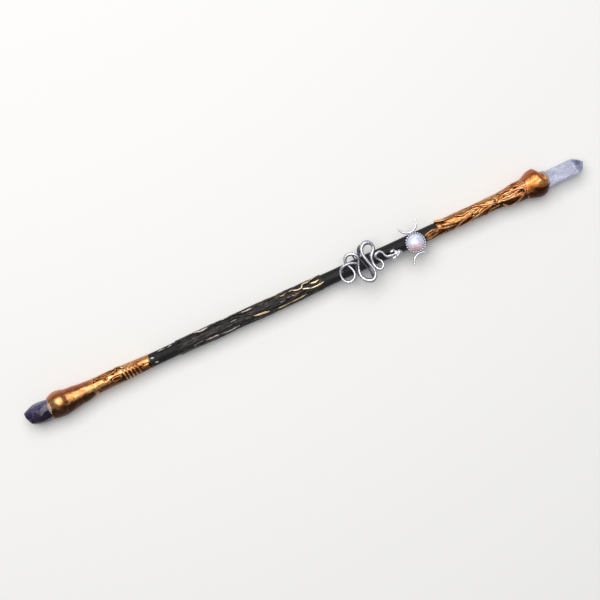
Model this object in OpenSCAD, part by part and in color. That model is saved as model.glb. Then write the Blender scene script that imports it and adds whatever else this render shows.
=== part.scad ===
// Crystal wand: a black painted branch with sculpted, gilded ends, a quartz point at the tip,
// an amethyst at the butt, and a snake charm and a triple moon charm glued along its top.
//
// X runs along the branch towards the quartz, Z is up on the charm side, and the wand lies on
// the small flats of its two collars at Z = 0. Everything is drawn about the branch's own axis,
// and placed() lifts it to its place. Lengths are millimetres, and X counts from mid length.

/* [Overall] */
// Length from the end of the amethyst to the tip of the quartz
wand_length = 368; // [360:1:380]
// Height of the branch's axis above the surface that the wand lies on
axis_height = 8.1; // [7.9:0.1:8.2]
// Sideways place of the branch's axis, which puts the charms' overhangs evenly about Y = 0
axis_y = 1.1; // [0:0.1:2]

/* [Branch] */
// Diameter of the branch
branch_d = 8.2; // [8:0.1:8.4]
// Diameter of the whittled ends inside the collars
tenon_d = 6.4; // [5:0.1:7]

/* [Collars] */
// Widest radius of the collar that holds the amethyst
butt_collar_r = 8.5; // [8.3:0.1:9]
// Widest radius of the collar that holds the quartz
tip_collar_r = 9.2; // [8.6:0.1:9.6]

/* [Crystals] */
// Radius of the quartz point over its corners
quartz_r = 5.3; // [4.8:0.1:5.4]
// Radius of the amethyst over its corners
amethyst_r = 6.2; // [5.6:0.1:6.3]

/* [Charms] */
// Radius of the moon's setting over its scallops
moon_r = 6.1; // [5.8:0.1:6.4]
// Number of scallops round the setting
scallops = 28; // [20:1:36]
// Radius of the cabochon
cabochon_r = 5; // [4.6:0.1:5.1]
// Thickest radius of the crescents' bars
crescent_bar_r = 0.68; // [0.5:0.01:0.8]

/* [Hidden] */
$fn = 64;

// Length at which the X positions below are true; a longer wand moves its two ends apart
drawn_length = 368;
stretch = (wand_length - drawn_length) / 2;
branch_r = branch_d / 2;
tenon_r = tenon_d / 2;
margin = 1;
cut = 50;

// Where each stretch of the wand starts and ends along X
butt_mouth_x = -167.8;
butt_tenon_x = -158;
butt_shoulder_x = -145.6;
butt_neck_x = -137.6;
butt_relief_end_x = -101;
bark_start_x = -84.2;
bark_end_x = 12.5;
tip_relief_x = 87.5;
tip_neck_x = 145;
tip_tenon_x = 148;
tip_mouth_x = 158.5;
end_x = drawn_length / 2;

// The amethyst and the quartz stand a little to one side of the branch's axis
amethyst_y = -0.8;
amethyst_socket_r = 6.35;
amethyst_base_x = -160.5;
quartz_y = -0.5;
quartz_socket_r = 5.9;
quartz_base_x = 150;
quartz_shoulder_x = 178.5;
quartz_tip_w = 0.6;
quartz_tip_r = 0.8;

// Outer radius of the sculpted skin along the wand, as [x, radius]
butt_relief_skin = [[butt_neck_x, 4.95], [-120, 4.75], [-108, 4.4], [butt_relief_end_x, 4.25]];
bark_r = 4.45;
tip_relief_skin = [
    [tip_relief_x, 4.3], [120, 4.3], [127, 4.55], [133, 5.15], [139, 6], [tip_neck_x, 6.3],
];
step = 0.01;
SKIN = concat(
    butt_relief_skin,
    [[butt_relief_end_x + step, branch_r], [bark_start_x - step, branch_r]],
    [[bark_start_x, bark_r], [bark_end_x, bark_r]],
    [[bark_end_x + step, branch_r], [tip_relief_x - step, branch_r]],
    tip_relief_skin
);

// Profiles of the two collars, as [x, radius] from the branch to the lip
butt_collar_profile = [
    [butt_neck_x, 5], [-140, 5.2], [-145, 5.7], [-150, 6.2], [-154, 6.8], [-157, 7.6],
    [-159.5, butt_collar_r - 0.2], [-162, butt_collar_r], [-165, butt_collar_r - 0.4],
    [-167.2, 7.9], [butt_mouth_x, 7.5],
];
tip_collar_profile = [
    [tip_neck_x, 6.3], [147.5, 7], [150, 8], [152.3, tip_collar_r - 0.3], [153.8, tip_collar_r],
    [155.4, tip_collar_r - 0.4], [157, 7.7], [158.2, 6.7], [tip_mouth_x, 6.3],
];

// Strands of clay or glue that lie on the skin, as [x, angle from the top towards +Y, half width,
// lift off the skin]. Each ends in a fine taper.
BARK_RIDGES = [
    [[-83.6, 24, 0.25], [-82, 44, 0.6], [-79, 62, 0.7], [-75, 64, 0.6], [-70, 58, 0.7],
     [-67, 46, 0.9], [-64, 47, 0.8], [-60, 56, 0.6], [-55, 62, 0.5], [-50, 66, 0.7],
     [-46, 68, 0.7], [-42, 58, 0.4], [-38, 54, 0.2]],
    [[-42, 48, 0.25], [-38, 42, 0.6], [-34, 41, 0.8], [-31, 50, 0.6], [-27, 46, 0.4],
     [-22, 56, 0.5], [-18, 62, 0.6], [-13, 58, 0.5], [-8, 54, 0.25]],
    [[-46, 34, 0.25], [-43, 24, 0.45], [-38, 10, 0.5], [-34, -6, 0.45]],
    [[-73, -26, 0.2], [-70, -28, 0.5], [-67, -29, 0.4], [-64, -35, 0.6], [-58, -37, 0.7],
     [-55.5, -41, 0.4], [-52, -45, 0.6], [-47, -43, 0.6], [-43.5, -40, 0.25]],
    [[-34, -17, 0.3], [-32, -22, 0.8], [-28, -27, 1], [-25, -33, 0.8], [-22, -40, 0.4],
     [-17.5, -47, 0.55], [-10, -43, 0.6], [-4, -41, 0.6], [0.6, -36, 0.25]],
    [[-20, 44, 0.25], [-16, 41, 0.45], [-13.5, 30, 0.6], [-11, 38, 0.5], [-7.5, 40, 0.5],
     [-5.5, 28, 0.6], [-3, 21, 0.5], [-1, 25, 0.7], [0.5, 45, 0.8], [3.5, 45, 0.8],
     [6, 53, 0.8], [9.6, 68, 0.3]],
    [[4.4, 28, 0.25], [5.6, 25, 0.6], [8, 21, 0.7], [10.6, 26, 0.3]],
    [[-0.8, 13, 0.25], [1.5, 4, 0.55], [4, -8, 0.6], [7, -11, 0.6], [10, -9, 0.6],
     [12.8, -5, 0.3]],
    [[-80, 100, 0.25], [-70, 112, 0.7], [-58, 104, 0.5], [-46, 118, 0.8], [-34, 108, 0.4],
     [-22, 120, 0.7], [-8, 110, 0.6], [6, 122, 0.25]],
    [[-82, 150, 0.25], [-72, 160, 0.6], [-60, 146, 0.8], [-50, 158, 0.5], [-38, 166, 0.7],
     [-26, 150, 0.5], [-12, 160, 0.8], [0, 150, 0.5], [10, 156, 0.25]],
    [[-78, 206, 0.25], [-66, 198, 0.7], [-52, 210, 0.5], [-40, 200, 0.8], [-28, 212, 0.5],
     [-14, 202, 0.7], [-2, 210, 0.5], [9, 200, 0.25]],
    [[-80, 262, 0.25], [-68, 252, 0.6], [-56, 262, 0.7], [-42, 250, 0.5], [-30, 262, 0.6],
     [-18, 250, 0.8], [-4, 258, 0.6], [8, 250, 0.25]],
];
TIP_ROOTS = [
    [[87.3, 60, 0.7, 1.1], [90, 55, 0.85, 0.6], [93, 47, 0.75, 0.2], [96, 42, 0.3, 0]],
    [[79, -13, 0.25], [80.5, -4, 0.5], [82, 1, 0.55], [84, 6, 0.6], [86, 1, 0.5], [88, -4, 0.5],
     [90, -13, 0.6], [93, -22, 0.6], [95.5, -28, 0.45], [99, -34, 0.25]],
    [[80.3, -80, 0.3], [82.5, -80, 0.55], [85, -72, 0.5], [88, -64, 0.45], [92, -56, 0.25]],
    [[94.8, -78, 0.4], [97, -68, 0.6], [99, -54, 0.6], [101, -41, 0.55], [103, -31, 0.5],
     [105, -25, 0.5], [107, -16, 0.5], [109, -5, 0.45], [111, 4, 0.25]],
    [[101.3, -72, 0.4], [105, -66, 0.6], [108, -57, 0.6], [111, -44, 0.6], [114, -37, 0.6],
     [117, -25, 0.5], [120, -17, 0.45], [123.5, -8, 0.25]],
    [[115.7, -70, 0.4], [118, -72, 0.7], [119.5, -57, 0.55], [121, -44, 0.5], [124, -37, 0.5],
     [127.5, -34, 0.25]],
    [[129.2, -36, 0.3], [130.3, -50, 0.5], [131.8, -70, 0.65], [134, -78, 0.75],
     [136.5, -62, 0.75], [139, -50, 0.8], [141.3, -38, 0.7], [143.2, -30, 0.4]],
    [[128, 60, 0.3], [131, 46, 0.6], [133, 49, 0.7], [135, 55, 0.7], [137, 61, 0.8],
     [140, 66, 0.6], [143.2, 62, 0.3]],
    [[100, 40, 0.3], [101.5, 33, 0.5], [103, 23, 0.55], [104.5, 16, 0.5], [106.5, 19, 0.55],
     [108.5, 22, 0.45], [109.8, 26, 0.25]],
    [[90.6, 14, 0.3], [92, 7, 0.7], [94, 2, 0.8], [96, -6, 0.5], [98, -12, 0.25]],
    [[111.5, 52, 0.3], [113.5, 46, 0.6], [116, 35, 0.7], [118.5, 20, 0.7], [121, 10, 0.6],
     [123.5, 2, 0.6], [125.8, -6, 0.25]],
    [[111, -16, 0.3], [112.5, -11, 0.6], [114.5, -1, 0.6], [116, 9, 0.5], [117, 17, 0.25]],
    [[90, 128, 0.25], [100, 116, 0.7], [112, 132, 0.6], [122, 118, 0.8], [132, 130, 0.7],
     [144, 118, 0.3]],
    [[92, 214, 0.25], [103, 228, 0.7], [114, 212, 0.6], [125, 226, 0.8], [135, 214, 0.7],
     [144, 226, 0.3]],
    [[110, 8, 0.35], [111, 11, 0.8], [112.3, 10, 0.8], [113.4, 7, 0.3]],
    [[126, -8, 0.35], [126.6, 6, 0.8], [127.4, 18, 0.8], [127.8, 30, 0.35]],
    [[131, 4, 0.3], [133, -2, 0.5], [135, -4, 0.5], [137.5, 0, 0.5], [139.6, -5, 0.25]],
    [[138, 44, 0.3], [139.5, 41, 0.55], [141.3, 34, 0.5], [143.6, 34, 0.4], [144.6, 32, 0.2]],
    [[112, 182, 0.25], [118, 172, 0.7], [126, 180, 0.8], [134, 168, 0.7], [143, 176, 0.3]],
];
// A closed strand round the hollow eye beside the tip's collar
TIP_EYE = [
    [130.6, 26, 0.45], [133, 24, 0.5], [137, 20, 0.55], [140.5, 16, 0.6], [143, 10, 0.65],
    [144.4, 1, 0.7], [144.5, -11, 0.7], [143.3, -21, 0.6], [141, -25, 0.55], [138.5, -20, 0.5],
    [135, -19, 0.5], [131.5, -18, 0.45], [129.4, -10, 0.4], [129.1, 8, 0.4],
];
BUTT_RIBS = [
    for (x = [-118.4, -116.3, -114, -111.8, -109.4])
        [[x - 0.4, 30, 0.25], [x - 0.3, 12, 0.5], [x, -8, 0.65], [x + 0.2, -26, 0.7],
         [x + 0.3, -46, 0.6], [x + 0.2, -72, 0.25]]
];
BUTT_BANDS = [
    [[-107, -13, 0.3], [-105.8, -16, 0.8], [-103.8, -16, 0.8], [-102.7, -14, 0.35]],
    [[-123.4, 82, 0.35], [-121.4, 73, 0.8], [-119.7, 59, 0.9], [-118.4, 46, 0.7], [-117.6, 36, 0.3]],
    [[-138.4, 28, 0.25], [-137.8, 40, 0.5], [-136.9, 52, 0.6], [-136, 62, 0.3]],
];
BUTT_DAUBS = [
    [[-100.9, 15, 0.3], [-99.6, 13, 0.8], [-98.4, 6, 0.3]],
    [[-99, -30, 0.3], [-97.8, -33, 0.6], [-96.8, -37, 0.25]],
];
BARK_FLECKS = [
    [[-95, 46, 0.2], [-93, 49, 0.45], [-90.4, 48, 0.2]],
    [[-89, 40, 0.2], [-87.2, 48, 0.45], [-85.8, 54, 0.2]],
];
taper_steps = 3;

// Centre line of the snake, as [x, y, height of the centre above the branch's top, radius].
// It starts at the tail, and ends at the back of the head.
SNAKE = [
    [35.9, 0.7, 2.2, 0.45], [34.6, 1.5, 2.5, 0.55], [32.8, 2.5, 2.7, 0.6], [30.8, 3.1, 2.8, 0.65],
    [28.6, 3.2, 2.7, 0.7], [26.4, 2.8, 2.2, 0.75], [24.7, 1.7, 1.7, 0.7], [23.7, 0, 1.4, 0.65],
    [23.4, -2.2, 1.2, 0.65], [23.8, -4.4, 1.1, 0.75], [25, -6.3, 1.1, 0.9], [27, -7.2, 1.1, 1.05],
    [29.2, -6.7, 1.1, 1], [30.8, -5.2, 1, 0.85], [31.5, -3.1, 1, 0.75], [31.3, -1, 0.9, 0.7],
    [30.5, 0.9, 0.8, 0.65], [29.6, 2.7, 0.8, 0.7], [29.1, 4.5, 0.9, 0.85], [29.5, 6.3, 1.1, 0.95],
    [30.8, 7.7, 1.4, 1], [32.7, 8.1, 1.7, 1], [34.6, 7.6, 1.9, 1], [36.3, 6.2, 2, 0.95],
    [37.1, 4.3, 1.9, 0.85], [36.7, 2.4, 1.6, 0.75], [35.8, 0.5, 1.3, 0.7], [35, -1.6, 1.1, 0.7],
    [34.4, -3.8, 1, 0.8], [34.2, -6, 1.1, 0.95], [34.7, -8.1, 1.3, 1.1], [36.1, -10, 1.4, 1.2],
    [38, -11.3, 1.5, 1.3], [40.1, -11.6, 1.6, 1.35], [41.9, -10.4, 1.8, 1.2],
    [42.9, -8.3, 2, 0.95], [42.9, -6, 2.2, 0.85], [42.3, -3.6, 2.3, 0.85], [41.6, -1.2, 2.4, 0.85],
    [41, 1.2, 2.4, 0.9], [40.5, 3.6, 2.3, 0.9], [40.5, 5.9, 2.2, 0.95], [41.1, 7.9, 2, 1.1],
    [42.4, 9.5, 1.8, 1.3], [44.3, 10.3, 1.7, 1.4], [46.2, 9.9, 1.6, 1.25], [47.5, 8.6, 1.5, 1.05],
    [48, 6.8, 1.3, 0.95], [47.6, 5, 1.2, 1], [46.4, 3.5, 1.2, 1.2], [45.1, 2, 1.2, 1.25],
    [44.3, 0.1, 1.2, 1.05], [44, -2, 1.2, 0.85], [44.2, -4.2, 1.3, 0.8], [44.9, -6.2, 1.4, 0.9],
    [46.3, -7.7, 1.5, 0.95], [48, -7.4, 1.6, 0.85], [49.2, -5.9, 1.6, 0.75], [49.3, -4.2, 1.5, 0.65],
    [48.6, -2.7, 1.4, 0.6], [47.5, -1.3, 1.6, 0.65], [46.8, 0.2, 2.1, 0.8], [47.5, 1.5, 2.4, 0.85],
    [49.2, 2.1, 2.3, 0.8], [50.7, 1.7, 2.2, 0.7], [51.8, 0.4, 2.1, 0.65], [52.3, -1.3, 2, 0.65],
    [53.3, -2.5, 1.9, 0.7], [54.7, -2.8, 1.8, 0.8], [56, -2.9, 1.7, 1],
];
// The casting's two lower bars, which lie beside and under the body
SNAKE_BARS = [
    [[42.2, 9.8, 1.2, 1], [40.3, 9.1, 1.1, 1.1], [39.1, 7.7, 1, 1], [38.5, 6.1, 1, 0.8],
     [38, 4.4, 0.9, 0.6], [38, 2.7, 0.8, 0.5], [38.5, 0.8, 0.8, 0.5], [39.2, -1.4, 0.8, 0.5],
     [40, -3.8, 0.9, 0.5], [40.6, -6.2, 1, 0.55], [40.8, -8.4, 1.2, 0.7], [40.8, -10, 1.4, 0.9]],
    [[34.4, 6.8, 1.6, 0.4], [34.9, 4.8, 1.2, 0.4], [35, 2.8, 0.8, 0.45], [34.6, 0.8, 0.8, 0.5],
     [33.7, -0.9, 0.8, 0.55], [33.2, -2.8, 0.8, 0.55], [33.3, -4.8, 0.9, 0.55], [34, -6.6, 1, 0.6]],
];
// Lobes of the head, as [x, y, height, radius along X, radius along Y, radius along Z]
SNAKE_SKULL = [
    [57.1, -1.2, 1.8, 1.7, 1.1, 1.2], [57, -4.9, 1.8, 1.7, 1.1, 1.2], [59.4, -3.1, 1.9, 1.9, 2, 1.4],
];
SNAKE_SNOUT = [[59.8, -3.2, 1.8, 1.4, 1.9, 1.3], [61.8, -3.6, 1.6, 1.2, 1.4, 1.1]];
bead_fn = 8;
lobe_fn = 12;

// The moon stands off the branch's middle, on a pad of glue
moon_x = 72.1;
moon_y = -2;
moon_base = 0.1;
setting_height = 2.2;
setting_floor = 0.8;
scallop_depth = 0.25;
cabochon_girdle = 0.5;
cabochon_table_r = 2.6;
cabochon_height = 3.2;
crescent_r = 5.85;
crescent_height = 0.9;
crescent_tip_r = 0.42;
crescent_upper = [71.9, 10.6];
crescent_lower = [71.9, -14.65];
crescent_steps = 18;
bar_sides = 8;
glue_top = 0.2;
glue_depth = 1;
pad_length = 4;
snake_pads = [23, 33, 42.5, 56.5];
snake_pad_half = 1.8;
moon_pad_half = 2;

// ---- Curves ----

// Point on a Catmull-Rom curve between b and c
function curve(a, b, c, d, t) =
    b + 0.5 * t * ((c - a) + t * (2 * a - 5 * b + 4 * c - d + t * (3 * b - a - 3 * c + d)));

// Smooth row of points through the given ones, with the given number of steps between two
function smooth(points, steps) = let (last = len(points) - 1) concat(
    [for (i = [0 : last - 1], s = [0 : steps - 1])
        curve(points[max(i - 1, 0)], points[i], points[i + 1], points[min(i + 2, last)], s / steps)],
    [points[last]]
);

function unit(v) = v / norm(v);

// Direction of a row of points at point i; on a loop, the row joins up with itself
function heading(points, i, loop = false) = let (n = len(points)) loop
    ? unit(points[(i + 1) % n] - points[(i + n - 1) % n])
    : unit(points[min(i + 1, n - 1)] - points[max(i - 1, 0)]);

// Every strand entry gets a lift, which is nothing unless it says so
function with_lift(strand) = [for (s = strand) [s[0], s[1], s[2], len(s) > 3 ? s[3] : 0]];

// Section of a strand across its heading: a half round above the skin, on a base sunk into it
strand_arc_steps = 5;
strand_sunk = 0.15;
strand_height = 0.85;
strand_base_share = 0.8;
function strand_section(place, ahead, entry) = let (
    out = [0, sin(entry[1]), cos(entry[1])],
    side = unit(cross(out, ahead)),
    w = entry[2],
    crown = [for (k = [0 : strand_arc_steps]) let (a = 180 * k / strand_arc_steps)
        place + w * cos(a) * side + (w * strand_height * sin(a) + entry[3]) * out],
    base = [for (s = [-1, 1]) place + s * strand_base_share * w * side - strand_sunk * out]
) concat(crown, base);

function strand_rings(entries, loop = false) = let (
    line = [for (s = entries) let (r = lookup(s[0], SKIN)) [s[0], r * sin(s[1]), r * cos(s[1])]]
) [for (i = [0 : len(entries) - 1]) strand_section(line[i], heading(line, i, loop), entries[i])];

// Sections of a bar that lies flat, such as a crescent, from [x, y, z, radius] entries
function bar_rings(entries, sides) = let (line = [for (p = entries) [p[0], p[1], p[2]]])
    [for (i = [0 : len(entries) - 1])
        let (ahead = heading(line, i), side = unit(cross([0, 0, 1], ahead)))
        [for (k = [0 : sides - 1]) let (a = 360 * (k + 0.5) / sides)
            line[i] + entries[i][3] * (cos(a) * side + sin(a) * cross(ahead, side))]];

// Entries of an oval strand on the skin: middle x and angle, half spans in x and angle, half width
oval_swell = 0.2;
function oval(x, angle, span_x, span_angle, w, count) = [
    for (i = [0 : count - 1]) let (a = 360 * i / count)
        [x + span_x * cos(a), angle + span_angle * sin(a), w * (1 + oval_swell * cos(2 * a)), 0]
];

// ---- Shapes that repeat ----

// Closed solid through a row of sections that have the same number of points
module skinned(rings, loop = false) {
    n = len(rings[0]);
    count = len(rings);
    spans = loop ? count : count - 1;
    function at(i, j) = (i % count) * n + j % n;
    sides = [for (i = [0 : spans - 1], j = [0 : n - 1], half = [0, 1]) half == 0
        ? [at(i, j), at(i + 1, j), at(i + 1, j + 1)]
        : [at(i, j), at(i + 1, j + 1), at(i, j + 1)]];
    first_cap = [for (j = [0 : n - 1]) at(0, j)];
    last_cap = [for (j = [n - 1 : -1 : 0]) at(count - 1, j)];
    caps = loop ? [] : [first_cap, last_cap];
    polyhedron(points = [for (ring = rings) each ring], faces = concat(sides, caps), convexity = 6);
}

// Lifts what is drawn about the branch's axis to its place above the resting plane
module placed() translate([0, axis_y, axis_height]) children();

module placed_at_tip() placed() translate([stretch, 0, 0]) children();

module placed_at_butt() placed() translate([-stretch, 0, 0]) children();

// Turns a closed outline of [x, radius] points about the branch's axis
module turned(outline) rotate([0, 90, 0]) rotate_extrude() polygon([for (p = outline) [p[1], p[0]]]);

// A round hole or rod along X
module rod(from_x, to_x, r) translate([from_x, 0, 0]) rotate([0, 90, 0])
    cylinder(h = to_x - from_x, r = r);

// Thin sleeve on the branch, with the given outer profile
module sleeve(profile) turned(concat(
    [[profile[0][0], branch_r]], profile, [[profile[len(profile) - 1][0], branch_r]]
));

// Closed strand through its entries; the last few may be left out, where they repeat the first
module oval_strand(entries, dropped = 0) {
    kept = [for (i = [0 : len(entries) - 1 - dropped]) entries[i]];
    skinned(strand_rings(kept, loop = true), loop = true);
}

module strand(entries) skinned(strand_rings(smooth(with_lift(entries), taper_steps)));

module bead(p) translate([p[0], p[1], branch_r + p[2]]) sphere(r = p[3], $fn = bead_fn);

module lobe(p) translate([p[0], p[1], branch_r + p[2]]) scale([p[3], p[4], p[5]])
    sphere(r = 1, $fn = lobe_fn);

// Everything below the resting plane, which cuts the collars' flats
module below_rest() translate([-drawn_length, -cut / 2, -axis_height - cut])
    cube([2 * drawn_length, cut, cut]);

// Glue between the branch and a charm's back, from the given start to the given end along X
module glue_pad(from_x, to_x, half_width) difference() {
    translate([from_x, -half_width, branch_r - glue_depth])
        cube([to_x - from_x, 2 * half_width, glue_depth + glue_top]);
    rod(from_x - margin, to_x + margin, branch_r);
}

// ---- Branch ----

module branch_core() color([0.06, 0.06, 0.065]) placed() union() {
    rod(butt_tenon_x - stretch, tip_tenon_x + stretch, tenon_r);
    rod(butt_shoulder_x - stretch, tip_neck_x + stretch, branch_r);
}

// ---- Butt end ----

module butt_collar() color([0.55, 0.33, 0.12]) placed_at_butt() difference() {
    turned(concat([[butt_neck_x, 0]], smooth(butt_collar_profile, 3), [[butt_mouth_x, 0]]));
    rod(butt_shoulder_x, butt_neck_x + margin, branch_r);
    rod(butt_tenon_x - margin, butt_shoulder_x + margin, tenon_r);
    translate([0, amethyst_y, 0]) rod(butt_mouth_x - margin, butt_tenon_x, amethyst_socket_r);
    below_rest();
}

// Slices of the amethyst from its base to its shoulder, as [x, share of the radius, turn]
AMETHYST = [[amethyst_base_x, 0.8, 0], [-168, 0.97, 4], [-175, 1, 10], [-180.5, 0.76, 24]];
amethyst_tip = [-end_x, 1.2, 0.4];
amethyst_tip_r = 1.4;
amethyst_tip_sides = 5;
amethyst_sides = 7;
slice_w = 0.2;
// How far the glue stays back inside each collar's mouth
butt_glue_inset = 1.2;
tip_glue_inset = 1;

module amethyst_slice(slice) translate([slice[0], 0, 0]) rotate([0, -90, 0]) rotate(slice[2])
    cylinder(h = slice_w, r = amethyst_r * slice[1], $fn = amethyst_sides);

module amethyst_point() color([0.16, 0.1, 0.2]) placed_at_butt() translate([0, amethyst_y, 0]) hull() {
    for (slice = AMETHYST) amethyst_slice(slice);
    translate(amethyst_tip) rotate([0, 90, 0])
        cylinder(h = slice_w, r = amethyst_tip_r, $fn = amethyst_tip_sides);
}

module amethyst_glue_bed() color([0.75, 0.7, 0.6]) placed_at_butt()
    translate([0, amethyst_y, 0]) difference() {
        rod(butt_mouth_x + butt_glue_inset, butt_tenon_x, amethyst_socket_r);
        hull() for (slice = [AMETHYST[0], AMETHYST[1]]) amethyst_slice(slice);
    }

module butt_relief_sleeve() color([0.6, 0.38, 0.14]) placed_at_butt() sleeve(butt_relief_skin);

module butt_swirl_long() color([0.8, 0.58, 0.26]) placed_at_butt()
    oval_strand(oval(-129, 52, 6.8, 20, 0.5, 28));

module butt_swirl_eye() color([0.85, 0.62, 0.3]) placed_at_butt() {
    oval_strand(oval(-123.6, -17, 3, 14, 0.5, 20));
    oval_strand(oval(-130.3, 14, 1.1, 12, 0.3, 14));
}

module butt_ring_ribs() color([0.82, 0.6, 0.28]) placed_at_butt() {
    for (band = concat(BUTT_RIBS, BUTT_BANDS)) strand(band);
}

module butt_end_daubs() color([0.6, 0.52, 0.42]) placed_at_butt() for (daub = BUTT_DAUBS) strand(daub);

// ---- Bark along the middle ----

module lower_bark_flecks() color([0.5, 0.48, 0.44]) placed() for (fleck = BARK_FLECKS) strand(fleck);

module bark_sleeve() color([0.08, 0.08, 0.08]) placed()
    sleeve([[bark_start_x, bark_r], [bark_end_x, bark_r]]);

module bark_ridge(number) color([0.42, 0.32, 0.16]) placed() strand(BARK_RIDGES[number - 1]);

// ---- Tip end ----

module tip_relief_sleeve() color([0.62, 0.36, 0.12]) placed_at_tip() sleeve(tip_relief_skin);

module tip_root(number) color([0.82, 0.56, 0.24]) placed_at_tip() strand(TIP_ROOTS[number - 1]);

module tip_eye_loop() color([0.85, 0.6, 0.28]) placed_at_tip()
    oval_strand(with_lift(smooth(concat(TIP_EYE, [TIP_EYE[0]]), 2)), 1);

module tip_collar() color([0.62, 0.28, 0.14]) placed_at_tip() difference() {
    turned(concat([[tip_neck_x, 0]], smooth(tip_collar_profile, 3), [[tip_mouth_x, 0]]));
    rod(tip_neck_x - margin, tip_tenon_x, tenon_r);
    translate([0, quartz_y, 0]) rod(tip_tenon_x, tip_mouth_x + margin, quartz_socket_r);
    below_rest();
}

module quartz_prism(from_x, to_x) translate([from_x, 0, 0]) rotate([0, 90, 0]) rotate(30)
    cylinder(h = to_x - from_x, r = quartz_r, $fn = 6);

module quartz_point() color([0.8, 0.84, 0.92]) placed_at_tip() translate([0, quartz_y, 0]) hull() {
    quartz_prism(quartz_base_x, quartz_shoulder_x);
    translate([end_x - quartz_tip_w, 0.9, 0.3]) rotate([0, 90, 0])
        cylinder(h = quartz_tip_w, r = quartz_tip_r, $fn = 6);
}

module quartz_glue_bed() color([0.75, 0.72, 0.66]) placed_at_tip()
    translate([0, quartz_y, 0]) difference() {
        rod(tip_tenon_x, tip_mouth_x - tip_glue_inset, quartz_socket_r);
        quartz_prism(quartz_base_x, tip_mouth_x + margin);
    }

// ---- Snake charm ----

module bead_chain(beads) for (i = [0 : len(beads) - 2]) hull() {
    bead(beads[i]);
    bead(beads[i + 1]);
}

module snake_charm() color([0.78, 0.78, 0.82]) placed() union() {
    bead_chain(SNAKE);
    for (bar = SNAKE_BARS) bead_chain(bar);
    hull() for (p = SNAKE_SKULL) lobe(p);
    hull() for (p = SNAKE_SNOUT) lobe(p);
}

module snake_glue_pads() color([0.3, 0.3, 0.3]) placed() for (x = snake_pads)
    glue_pad(x, x + pad_length, snake_pad_half);

// ---- Moon charm ----

// Outline of the setting: a circle with small round scallops
module scalloped_disc(r, count, depth) polygon([
    for (k = [0 : 6 * count - 1]) let (a = 60 * k / count, out = r - depth + depth * abs(sin(30 * k)))
        [out * cos(a), out * sin(a)]
]);

module on_moon() placed() translate([moon_x, moon_y, branch_r + moon_base]) children();

module moon_setting() color([0.74, 0.74, 0.78]) on_moon() difference() {
    linear_extrude(setting_height) scalloped_disc(moon_r, scallops, scallop_depth);
    translate([0, 0, setting_floor]) cylinder(h = setting_height, r = cabochon_r);
}

module moon_cabochon() color([0.86, 0.86, 0.9]) on_moon() translate([0, 0, setting_floor])
    rotate_extrude() polygon([
        [0, 0], [cabochon_r, 0], [cabochon_r, setting_height - setting_floor - 0.2],
        [cabochon_r - 0.3, setting_height - setting_floor + cabochon_girdle],
        [cabochon_table_r, cabochon_height], [0, cabochon_height + 0.1],
    ]);

// A crescent's bar, from one angle to the other about its middle, thickest halfway
module crescent(middle, from_angle, to_angle) skinned(bar_rings([
    for (k = [0 : crescent_steps]) let (
        t = k / crescent_steps,
        a = from_angle + t * (to_angle - from_angle),
        r = crescent_tip_r + (crescent_bar_r - crescent_tip_r) * sin(180 * t)
    ) [middle[0] + crescent_r * cos(a), middle[1] + crescent_r * sin(a), branch_r + crescent_height, r]
], bar_sides));

module crescent_upper() color([0.78, 0.78, 0.82]) placed() crescent(crescent_upper, 184, 364);

module crescent_lower() color([0.72, 0.72, 0.76]) placed() crescent(crescent_lower, 176, 38);

module moon_glue_pad() color([0.3, 0.3, 0.3]) placed()
    glue_pad(moon_x - pad_length, moon_x + pad_length, moon_pad_half);

// ---- Drawing ----

branch_core();
butt_collar();
amethyst_point();
amethyst_glue_bed();
butt_relief_sleeve();
butt_swirl_long();
butt_swirl_eye();
butt_ring_ribs();
butt_end_daubs();
lower_bark_flecks();
bark_sleeve();
bark_ridge(1);  // bark_ridge_1
bark_ridge(2);  // bark_ridge_2
bark_ridge(3);  // bark_ridge_3
bark_ridge(4);  // bark_ridge_4
bark_ridge(5);  // bark_ridge_5
bark_ridge(6);  // bark_ridge_6
bark_ridge(7);  // bark_ridge_7
bark_ridge(8);  // bark_ridge_8
bark_ridge(9);  // bark_ridge_9
bark_ridge(10);  // bark_ridge_10
bark_ridge(11);  // bark_ridge_11
bark_ridge(12);  // bark_ridge_12
tip_relief_sleeve();
tip_root(1);  // tip_root_1
tip_root(2);  // tip_root_2
tip_root(3);  // tip_root_3
tip_root(4);  // tip_root_4
tip_root(5);  // tip_root_5
tip_root(6);  // tip_root_6
tip_root(7);  // tip_root_7
tip_root(8);  // tip_root_8
tip_root(9);  // tip_root_9
tip_root(10);  // tip_root_10
tip_root(11);  // tip_root_11
tip_root(12);  // tip_root_12
tip_root(13);  // tip_root_13
tip_root(14);  // tip_root_14
tip_root(15);  // tip_root_15
tip_root(16);  // tip_root_16
tip_root(17);  // tip_root_17
tip_root(18);  // tip_root_18
tip_root(19);  // tip_root_19
tip_eye_loop();
tip_collar();
quartz_point();
quartz_glue_bed();
snake_charm();
snake_glue_pads();
moon_setting();
moon_cabochon();
crescent_upper();
crescent_lower();
moon_glue_pad();
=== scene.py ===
"""Looks of the crystal wand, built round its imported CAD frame.

Shapes are worked out in millimetres about the branch's own axis: X counts from mid length, and
an angle goes from the top of the wand (+Z) towards +Y, in degrees. piece() turns them into metres.
"""
import itertools
import math

import bmesh
import bpy
import numpy as np
from mathutils import Matrix, Vector


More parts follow.
